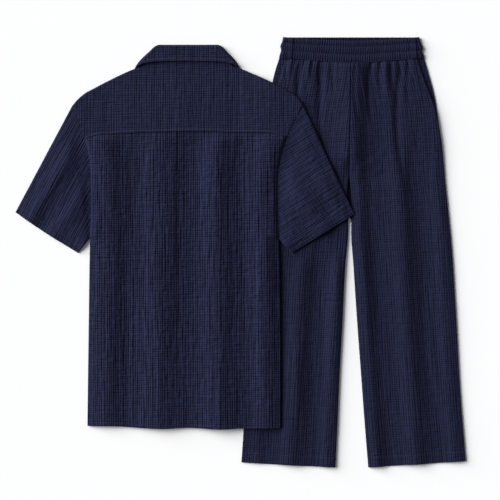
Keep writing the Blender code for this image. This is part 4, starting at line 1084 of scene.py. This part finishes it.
def make_belt_loops():
    """The two belt loops over the waistband."""
    s = settings()
    bottom, top = through(BAND_BOTTOM), through(BAND_TOP)
    for name, middle in (("belt_loop_left", -0.135), ("belt_loop_right", 0.139)):
        lean = -0.08 if middle < 0 else 0.08
        column, row = stations(even(LOOP_WIDTH, 0.0009)), stations(even(0.049, 0.0012))
        x, y = place(
            column, row,
            lambda y: middle - LOOP_WIDTH / 2 - lean * y, lambda y: middle + LOOP_WIDTH / 2 - lean * y,
            top, lambda x: bottom(x) + HALF_GAP,
        )
        across, down = column[0][None, :], row[0][:, None]
        edges = np.minimum(across, 1 - across) * LOOP_WIDTH
        stitched = -0.0003 * np.exp(-(((edges - 0.0018) / 0.0006) ** 2))
        fine = crinkle(x, y, 840)
        z = BAND_LOFT + s.channel_swell * channel(down) + s.loop_lift + stitched + 0.00015 * fine
        piece = sheet_object(name + "_cloth", x, y, z, x, y, fine, DOUBLED_CLOTH)
        as_cloth(
            to_layout(piece, TROUSERS_AT), name,
            cloth_material("navy_crinkle_loops", waffle=0.3, wrinkled=0.2),
        )


def beside(table, shift):
    """The line at a distance beside a table's line, as (x, y) from its share of length."""
    line = path(table)

    def at(share):
        (x, y), (ahead_x, ahead_y) = line(share), line(share + 0.004)
        (back_x, back_y) = line(share - 0.004)
        run_x, run_y = ahead_x - back_x, ahead_y - back_y
        run = np.hypot(run_x, run_y)
        return x - shift * run_y / run, y + shift * run_x / run

    return at


def along_band(share_down):
    """A line across the waistband at a share of its height, as (x, y) from its share."""
    top, bottom = through(BAND_TOP), through(BAND_BOTTOM)

    def at(share):
        x = BAND_TOP[0][0] + 0.001 + share * (BAND_TOP[-1][0] - BAND_TOP[0][0] - 0.002)
        return x, top(x) * (1 - share_down) + bottom(x) * share_down

    return at


def shirt_seams():
    """The shirt's lines of stitching: the cloth each is on, its line and its length."""
    return (
        ("shirt_yoke", beside(YOKE_SEAM[1:-1], 0.0014), 0.44),
        ("shirt_yoke", beside(YOKE_SEAM[1:-1], 0.0052), 0.44),
        ("shirt_back", beside(SHIRT_HEM, SHIRT_HEM_SEAM), 0.43),
        ("collar_fall", beside(FALL_LIP, 0.0062), 0.23),
        ("sleeve_left", beside(SLEEVE_LEFT_CUFF, -SLEEVE_HEM), 0.165),
        ("sleeve_right", beside(SLEEVE_RIGHT_CUFF, SLEEVE_HEM), 0.165),
    )


def trouser_seams():
    """The trousers' lines of stitching: the cloth each is on, its line and its length."""
    return (
        ("waistband_back", along_band(STITCHING[1]), 0.305),
        ("waistband_back", along_band(STITCHING[2]), 0.305),
        ("waistband_back", along_band(0.96), 0.305),
        ("trouser_back_left", beside(LEG_HEM_LEFT, LEG_HEM_SEAM), 0.21),
        ("trouser_back_right", beside(LEG_HEM_RIGHT, LEG_HEM_SEAM), 0.218),
        ("trouser_back_left", beside(MOUTH_LEFT, 0.0045), 0.12),
        ("trouser_back_right", beside(MOUTH_RIGHT, -0.0045), 0.12),
    )


def stitch(points, faces, start, end, up):
    """Add one stitch: it dives into the cloth at both ends and stands up between."""
    s = settings()
    run = end - start
    aside = up.cross(run).normalized() * s.thread_width / 2
    rise = up * s.thread_width / 2
    first = len(points)
    points += [start - rise, end - rise]
    for share in (0.22, 0.78):
        middle = start + run * share + rise * 0.6
        points += [middle + aside, middle + rise, middle - aside, middle - rise]
    for k in range(4):
        a, b = first + 2 + k, first + 2 + (k + 1) % 4
        faces += [(first, a, b), (a, a + 4, b + 4, b), (first + 1, b + 4, a + 4)]


def thread_object(name, points, faces):
    """An object of sewing thread from the points and faces of its stitches."""
    mesh = bpy.data.meshes.new(name)
    mesh.from_pydata(points, [], faces)
    mesh.shade_smooth()
    mesh.materials.append(thread_material())
    tidy = bmesh.new()
    tidy.from_mesh(mesh)
    bmesh.ops.recalc_face_normals(tidy, faces=tidy.faces)
    tidy.to_mesh(mesh)
    tidy.free()
    thread = bpy.data.objects.new(name, mesh)
    bpy.context.scene.collection.objects.link(thread)
    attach(thread, "root")


def sew(name, seams, at):
    """Lay rows of stitches on finished cloth."""
    pitch = settings().stitch_pitch
    points, faces = [], []
    down = Vector((0, 0, -1))
    bpy.context.view_layer.update()
    for node, line, length in seams:
        cloth = bpy.data.objects[node + "_cloth"]
        count = round(length / pitch)
        for middle in (np.arange(count) + 0.5) / count:
            ends = []
            for share in (middle - 0.42 / count, middle + 0.42 / count):
                x, y = line(share)
                from_above = Vector((float(x) + at[0], float(y) + at[1], 0.1))
                ends.append(cloth.ray_cast(from_above, down))
            if not all(hit[0] for hit in ends):
                continue
            up = (ends[0][2] + ends[1][2]).normalized()
            stitch(points, faces, ends[0][1], ends[1][1], up)
    thread_object(name, points, faces)


def cloudy_material(name, dark, light, cell, roughness, bump_depth):
    """A surface whose colour drifts between two shades, on Object coordinates."""
    kit = Weave(name)
    place_on_piece = kit.tree.nodes.new("ShaderNodeTexCoord")
    cloud = kit.tree.nodes.new("ShaderNodeTexNoise")
    cloud.inputs["Scale"].default_value = 1 / cell
    cloud.inputs["Detail"].default_value = 3.0
    kit.put(cloud.inputs["Vector"], place_on_piece.outputs["Object"])
    ramp = kit.tree.nodes.new("ShaderNodeValToRGB")
    for element, share, shade in zip(ramp.color_ramp.elements, (0.35, 0.65), (dark, light)):
        element.position = share
        element.color = (*shade, 1)
    kit.put(ramp.inputs["Fac"], cloud.outputs["Fac"])
    kit.put(kit.shader.inputs["Base Color"], ramp.outputs["Color"])
    kit.shader.inputs["Roughness"].default_value = roughness
    bump = kit.tree.nodes.new("ShaderNodeBump")
    bump.inputs["Distance"].default_value = bump_depth
    kit.put(bump.inputs["Height"], cloud.outputs["Fac"])
    kit.put(kit.shader.inputs["Normal"], bump.outputs["Normal"])
    return kit.material


def thread_material():
    """Navy sewing thread, a little lighter than the cloth."""
    made = bpy.data.materials.get("navy_thread")
    s = settings()
    dark, light = ([channel_value * factor for channel_value in s.navy] for factor in (0.9, 2.0))
    return made or cloudy_material("navy_thread", dark, light, 0.0006, 0.7, 0.0002)


def make_button(at):
    """A four-hole button with a raised rim, at its place in the layout."""
    bpy.ops.object.select_all(action="DESELECT")
    bpy.ops.mesh.primitive_cylinder_add(
        vertices=48, radius=BUTTON_RADIUS, depth=BUTTON_THICKNESS, location=at,
    )
    button = bpy.context.object
    bpy.ops.object.mode_set(mode="EDIT")
    shape = bmesh.from_edit_mesh(button.data)
    for face in shape.faces:
        face.select_set(face.normal.z < -0.9)
    shape.select_flush_mode()
    bmesh.update_edit_mesh(button.data)
    bpy.ops.mesh.inset(thickness=BUTTON_RIM)
    bpy.ops.mesh.inset(thickness=BUTTON_DISH, depth=-BUTTON_DISH)
    bpy.ops.object.mode_set(mode="OBJECT")
    for across, along in ((-1, -1), (1, -1), (-1, 1), (1, 1)):
        bore(button, (at[0] + across * HOLE_PLACE, at[1] + along * HOLE_PLACE, at[2]))
    edges = button.modifiers.new("Edges", "BEVEL")
    edges.width = BUTTON_BEVEL
    edges.segments = 2
    bpy.ops.object.modifier_apply(modifier="Edges")
    bpy.ops.object.shade_smooth_by_angle(angle=BUTTON_ANGLE)
    bpy.ops.object.transform_apply(location=True, rotation=True, scale=True)
    button.data.materials.clear()
    button.data.materials.append(cloudy_material(
        "button_resin", (0.009, 0.010, 0.019), (0.026, 0.029, 0.050), 0.004, 0.32, 0.00004
    ))
    return button


def make_buttons():
    """Five buttons, copied from the first, each sewn on with two threads."""
    boxes = [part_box(f"button_{k}") for k in range(1, BUTTON_COUNT + 1)]
    centres = [(Vector(low) + Vector(high)) / 2 for low, high in boxes]
    first = make_button(centres[0])
    shapes = [first.data] + [first.data.copy() for _ in centres[1:]]
    for k, ((low, _), centre, shape) in enumerate(zip(boxes, centres, shapes), start=1):
        button = first
        if k > 1:
            shape.transform(Matrix.Translation(centre - centres[0]))
            button = bpy.data.objects.new(f"button_{k}_resin", shape)
            bpy.context.scene.collection.objects.link(button)
        button.name = f"button_{k}_resin"
        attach(button, "root")
        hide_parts(f"button_{k}")
        points, faces = [], []
        dish = low[2] + BUTTON_DISH
        for along in (-HOLE_PLACE, HOLE_PLACE):
            start = Vector((centre[0] - HOLE_PLACE, centre[1] + along, dish))
            end = Vector((centre[0] + HOLE_PLACE, centre[1] + along, dish))
            stitch(points, faces, start, end, Vector((0, 0, -1)))
        thread_object(f"button_{k}_thread", points, faces)


def bore(button, at):
    """Cut one thread hole through a button."""
    bpy.ops.object.select_all(action="DESELECT")
    bpy.ops.mesh.primitive_cylinder_add(
        vertices=16, radius=HOLE_RADIUS, depth=2 * BUTTON_THICKNESS, location=at,
    )
    drill = bpy.context.object
    hole = button.modifiers.new("Hole", "BOOLEAN")
    hole.operation = "DIFFERENCE"
    hole.object = drill
    bpy.context.view_layer.objects.active = button
    bpy.ops.object.modifier_apply(modifier="Hole")
    bpy.data.objects.remove(drill)
    button.select_set(True)


def metres(name, description, default):
    """A length setting."""
    return FloatProperty(name=name, description=description, default=default, unit="LENGTH")


class GarmentClothSettings(bpy.types.PropertyGroup):
    """Colours and sizes of the cloth."""

    navy: FloatVectorProperty(
        name="Navy", description="Colour of the cloth", subtype="COLOR", size=3, min=0, max=1,
        default=(0.0105, 0.0121, 0.0335),
    )
    # Painted shade: how far the relief attribute is lowered on the trouser fronts' inside faces.
    lower_face_painted_shade: FloatProperty(
        name="Inside shade", description="How much darker the inside of the legs is",
        default=2.5, min=0, max=5,
    )
    # Painted shade and highlight: the cloth's colour at the ramp's dark and light ends, darker in the
    # crinkle's troughs and lighter on its crests.
    trough_painted_shade: FloatProperty(
        name="Trough shade", description="How dark the cloth is in the crinkle's troughs",
        default=0.35, min=0, max=2,
    )
    crest_painted_highlight: FloatProperty(
        name="Crest shade", description="How light the cloth is on the crinkle's crests",
        default=1.5, min=0, max=3,
    )
    roughness: FloatProperty(
        name="Roughness", description="Roughness of the cloth", default=0.88, min=0, max=1,
    )
    sheen: FloatProperty(
        name="Sheen", description="Soft sheen of the cotton's nap", default=0.03, min=0, max=1,
    )
    thread_pitch: metres("Thread pitch", "Distance between threads", 0.0008)
    thread_width: metres("Thread width", "Thickness of the sewing thread", 0.0007)
    stitch_pitch: metres("Stitch pitch", "Distance between stitches", 0.0034)
    rib_pitch: metres("Rib pitch", "Distance between fine ribs along the grain", 0.0052)
    bar_pitch: metres("Bar pitch", "Distance between fine ribs across the grain", 0.0051)
    pucker_depth: metres("Pucker depth", "Depth of the fine ribs", 0.0019)
    wrinkle_depth: metres(
        "Wrinkle depth", "Depth of the uneven wrinkles between the fine ribs", 0.0036
    )
    crinkle_depth: metres("Crinkle depth", "Half the depth of the crinkle", 0.00055)
    rumple_depth: metres("Rumple depth", "Half the depth of broad unevenness", 0.0006)
    fold_depth: metres("Fold depth", "Half the depth of the soft lengthwise folds", 0.0052)
    gather_depth: metres(
        "Gather depth", "Half the depth of the gathers under the waistband", 0.0014
    )
    channel_swell: metres("Channel swell", "How far the waistband's channels stand up", 0.0020)
    loop_lift: metres("Loop lift", "How far the belt loops stand above the waistband", 0.0019)
    drag_share: FloatProperty(
        name="Drag share", description="How deep the long creases from the waistband are",
        default=1.3, min=0, max=3,
    )
    seam_dip: metres("Seam dip", "How deep the legs dip where the waistband is sewn on", 0.0030)
    ruche_depth: metres("Ruche depth", "Half the depth of the waistband's fine gathers", 0.0007)
    cloth_thickness: metres("Cloth thickness", "Thickness of the cloth", 0.0009)
    rib_spacing: metres("Column spacing", "Mesh spacing across the grain", 0.0019)
    row_spacing: metres("Row spacing", "Mesh spacing along the grain", 0.0036)
    hip_fullness: metres("Hip fullness", "How far the gathered hips stand above the solid", 0.0008)
    sleeve_swell: metres("Sleeve swell", "How far a sleeve rises between armhole and cuff", 0.0048)
    side_fall: metres("Side fall", "How far the shirt's back slopes down near its sides", 0.0007)
    hang_over: metres(
        "Hang over", "How much further the back sinks at its side over the leg", 0.0014
    )
    armhole_roll: metres("Armhole roll", "How far the body stands up beside a sleeve", 0.0034)
    edge_fall: metres("Edge fall", "How far a sleeve slopes down near its outer edge", 0.0018)
    under_spacing: metres("Under spacing", "Mesh spacing of the panels below", 0.0060)
    level_over_leg: metres("Level over leg", "Height at which the shirt lies over a leg", 0.0069)
    level_over_hip: metres("Level over hip", "Height at which the shirt lies over the hip", 0.0086)


class GarmentStageSettings(bpy.types.PropertyGroup):
    """Camera, floor and light."""

    view_width: metres("View width", "Width of the floor that the camera sees", 1.12)
    view_centre: FloatVectorProperty(
        name="View centre", description="Where the camera looks", size=2, default=(0.0211, 0.0052),
        subtype="XYZ", unit="LENGTH",
    )
    camera_height: metres("Camera height", "Height of the camera", 3.2)
    key_strength: FloatProperty(
        name="Key light", description="Strength of the soft light from the left", default=7.7,
    )
    key_softness: FloatProperty(
        name="Key softness", description="How wide the key light is, seen from the floor",
        default=math.radians(50), subtype="ANGLE",
    )
    key_elevation: FloatProperty(
        name="Key elevation", description="Height of the key light over the floor",
        default=math.radians(23), subtype="ANGLE",
    )
    key_bearing: FloatProperty(
        name="Key bearing", description="Where the key light stands, turned from +X",
        default=math.radians(158), subtype="ANGLE",
    )
    fill_strength: FloatProperty(
        name="Fill light", description="Strength of the light from all round", default=0.20,
    )


class MakeTrouserLegs(bpy.types.Operator):
    """Lay the two front and two back leg panels of the trousers"""

    bl_idname = "garment.trouser_legs"
    bl_label = "Trouser legs"

    def execute(self, context):
        for side in (-1, 1):
            make_trouser_front(side)
            make_trouser_back(side)
        return {"FINISHED"}


class MakeTrouserPockets(bpy.types.Operator):
    """Lay the facing and bag of each side pocket between the leg panels"""

    bl_idname = "garment.trouser_pockets"
    bl_label = "Side pockets"

    def execute(self, context):
        for side in (-1, 1):
            make_pocket(side)
        return {"FINISHED"}


class MakeWaistband(bpy.types.Operator):
    """Gather the elastic waistband into three ruched channels"""

    bl_idname = "garment.waistband"
    bl_label = "Elastic waistband"

    def execute(self, context):
        make_waistband()
        return {"FINISHED"}


class MakeBeltLoops(bpy.types.Operator):
    """Lay two narrow belt loops over the waistband"""

    bl_idname = "garment.belt_loops"
    bl_label = "Belt loops"

    def execute(self, context):
        make_belt_loops()
        return {"FINISHED"}


class MakeShirtFronts(bpy.types.Operator):
    """Lay the shirt's two fronts, which overlap at the centre under the back"""

    bl_idname = "garment.shirt_fronts"
    bl_label = "Shirt fronts"

    def execute(self, context):
        for side in (-1, 1):
            make_shirt_front(side)
        return {"FINISHED"}


class MakeShirtBack(bpy.types.Operator):
    """Lay the shirt's back panel"""

    bl_idname = "garment.shirt_back"
    bl_label = "Shirt back"

    def execute(self, context):
        make_shirt_back()
        return {"FINISHED"}


class MakeShirtYoke(bpy.types.Operator):
    """Lay the yoke above the back, with its felled seam"""

    bl_idname = "garment.shirt_yoke"
    bl_label = "Shirt yoke"

    def execute(self, context):
        make_shirt_yoke()
        return {"FINISHED"}


class MakeSleeves(bpy.types.Operator):
    """Fold the two short sleeves round, each from one piece"""

    bl_idname = "garment.sleeves"
    bl_label = "Sleeves"

    def execute(self, context):
        for side in (-1, 1):
            make_sleeve(side)
        return {"FINISHED"}


class MakeCollar(bpy.types.Operator):
    """Fold the camp collar: its fall, its stand and its two leaves"""

    bl_idname = "garment.collar"
    bl_label = "Camp collar"

    def execute(self, context):
        make_collar()
        return {"FINISHED"}


class SewGarments(bpy.types.Operator):
    """Topstitch the hems, the yoke, the collar, the waistband and the pocket mouths"""

    bl_idname = "garment.stitching"
    bl_label = "Stitching"

    def execute(self, context):
        sew("shirt_stitches", shirt_seams(), SHIRT_AT)
        sew("trouser_stitches", trouser_seams(), TROUSERS_AT)
        return {"FINISHED"}


class MakeButtons(bpy.types.Operator):
    """Sew on the shirt's five four-hole buttons"""

    bl_idname = "garment.buttons"
    bl_label = "Buttons"

    def execute(self, context):
        make_buttons()
        return {"FINISHED"}


class MakeGarmentStage(bpy.types.Operator):
    """Set the pale floor, the soft light and the camera straight above"""

    bl_idname = "garment.stage"
    bl_label = "Stage"

    def execute(self, context):
        s = context.scene.garment_stage
        bpy.ops.object.select_all(action="DESELECT")
        bpy.ops.mesh.primitive_plane_add(size=FLOOR_SIZE, location=(0, 0, -FLOOR_DROP))
        floor = context.object
        floor.name = "pale_floor"
        paper = bpy.data.materials.new("pale_paper")
        paper.use_nodes = True
        shader = paper.node_tree.nodes["Principled BSDF"]
        shader.inputs["Base Color"].default_value = (0.86, 0.86, 0.86, 1)
        shader.inputs["Roughness"].default_value = 0.9
        floor.data.materials.append(paper)
        lens = bpy.data.cameras.new("above")
        lens.lens = lens.sensor_width * s.camera_height / s.view_width
        camera = bpy.data.objects.new("above", lens)
        camera.location = (s.view_centre[0], s.view_centre[1], s.camera_height)
        context.scene.collection.objects.link(camera)
        context.scene.camera = camera
        bpy.ops.object.light_add(type="SUN", location=(-2.0, 0.8, 1.2))
        key = context.object
        key.name = "key_from_left"
        key.data.angle = s.key_softness
        key.data.energy = s.key_strength
        rise = math.tan(s.key_elevation)
        towards = Vector((math.cos(s.key_bearing), math.sin(s.key_bearing), rise))
        key.rotation_euler = towards.to_track_quat("Z", "Y").to_euler()
        world = bpy.data.worlds.new("soft_fill")
        world.use_nodes = True
        background = world.node_tree.nodes["Background"]
        background.inputs["Color"].default_value = (0.93, 0.95, 1.0, 1)
        background.inputs["Strength"].default_value = s.fill_strength
        context.scene.world = world
        context.scene.view_settings.view_transform = "Standard"
        return {"FINISHED"}


class GARMENT_PT_panel(bpy.types.Panel):
    """Lists the garments' pieces and their settings"""

    bl_label = "Shirt and trousers"
    bl_space_type = "VIEW_3D"
    bl_region_type = "UI"
    bl_category = "Garments"

    def draw(self, context):
        layout = self.layout
        for operator in OPERATORS:
            layout.operator(operator.bl_idname)
        for group in (context.scene.garment_cloth, context.scene.garment_stage):
            column = layout.column(align=True)
            for prop in group.__annotations__:
                column.prop(group, prop)


OPERATORS = (
    MakeTrouserLegs, MakeTrouserPockets, MakeWaistband, MakeBeltLoops, MakeShirtFronts,
    MakeShirtBack, MakeShirtYoke, MakeSleeves, MakeCollar, SewGarments, MakeButtons,
    MakeGarmentStage,
)
CLASSES = (GarmentClothSettings, GarmentStageSettings) + OPERATORS + (GARMENT_PT_panel,)


def register():
    for cls in CLASSES:
        bpy.utils.register_class(cls)
    bpy.types.Scene.garment_cloth = PointerProperty(type=GarmentClothSettings)
    bpy.types.Scene.garment_stage = PointerProperty(type=GarmentStageSettings)


def unregister():
    del bpy.types.Scene.garment_stage
    del bpy.types.Scene.garment_cloth
    for cls in reversed(CLASSES):
        bpy.utils.unregister_class(cls)


def main():
    """Make every piece and the stage."""
    register()
    bpy.ops.garment.trouser_legs()
    bpy.ops.garment.trouser_pockets()
    bpy.ops.garment.waistband()
    bpy.ops.garment.belt_loops()
    bpy.ops.garment.shirt_fronts()
    bpy.ops.garment.shirt_back()
    bpy.ops.garment.shirt_yoke()
    bpy.ops.garment.sleeves()
    bpy.ops.garment.collar()
    bpy.ops.garment.stitching()
    bpy.ops.garment.buttons()
    bpy.ops.garment.stage()


if __name__ == "__main__":
    main()
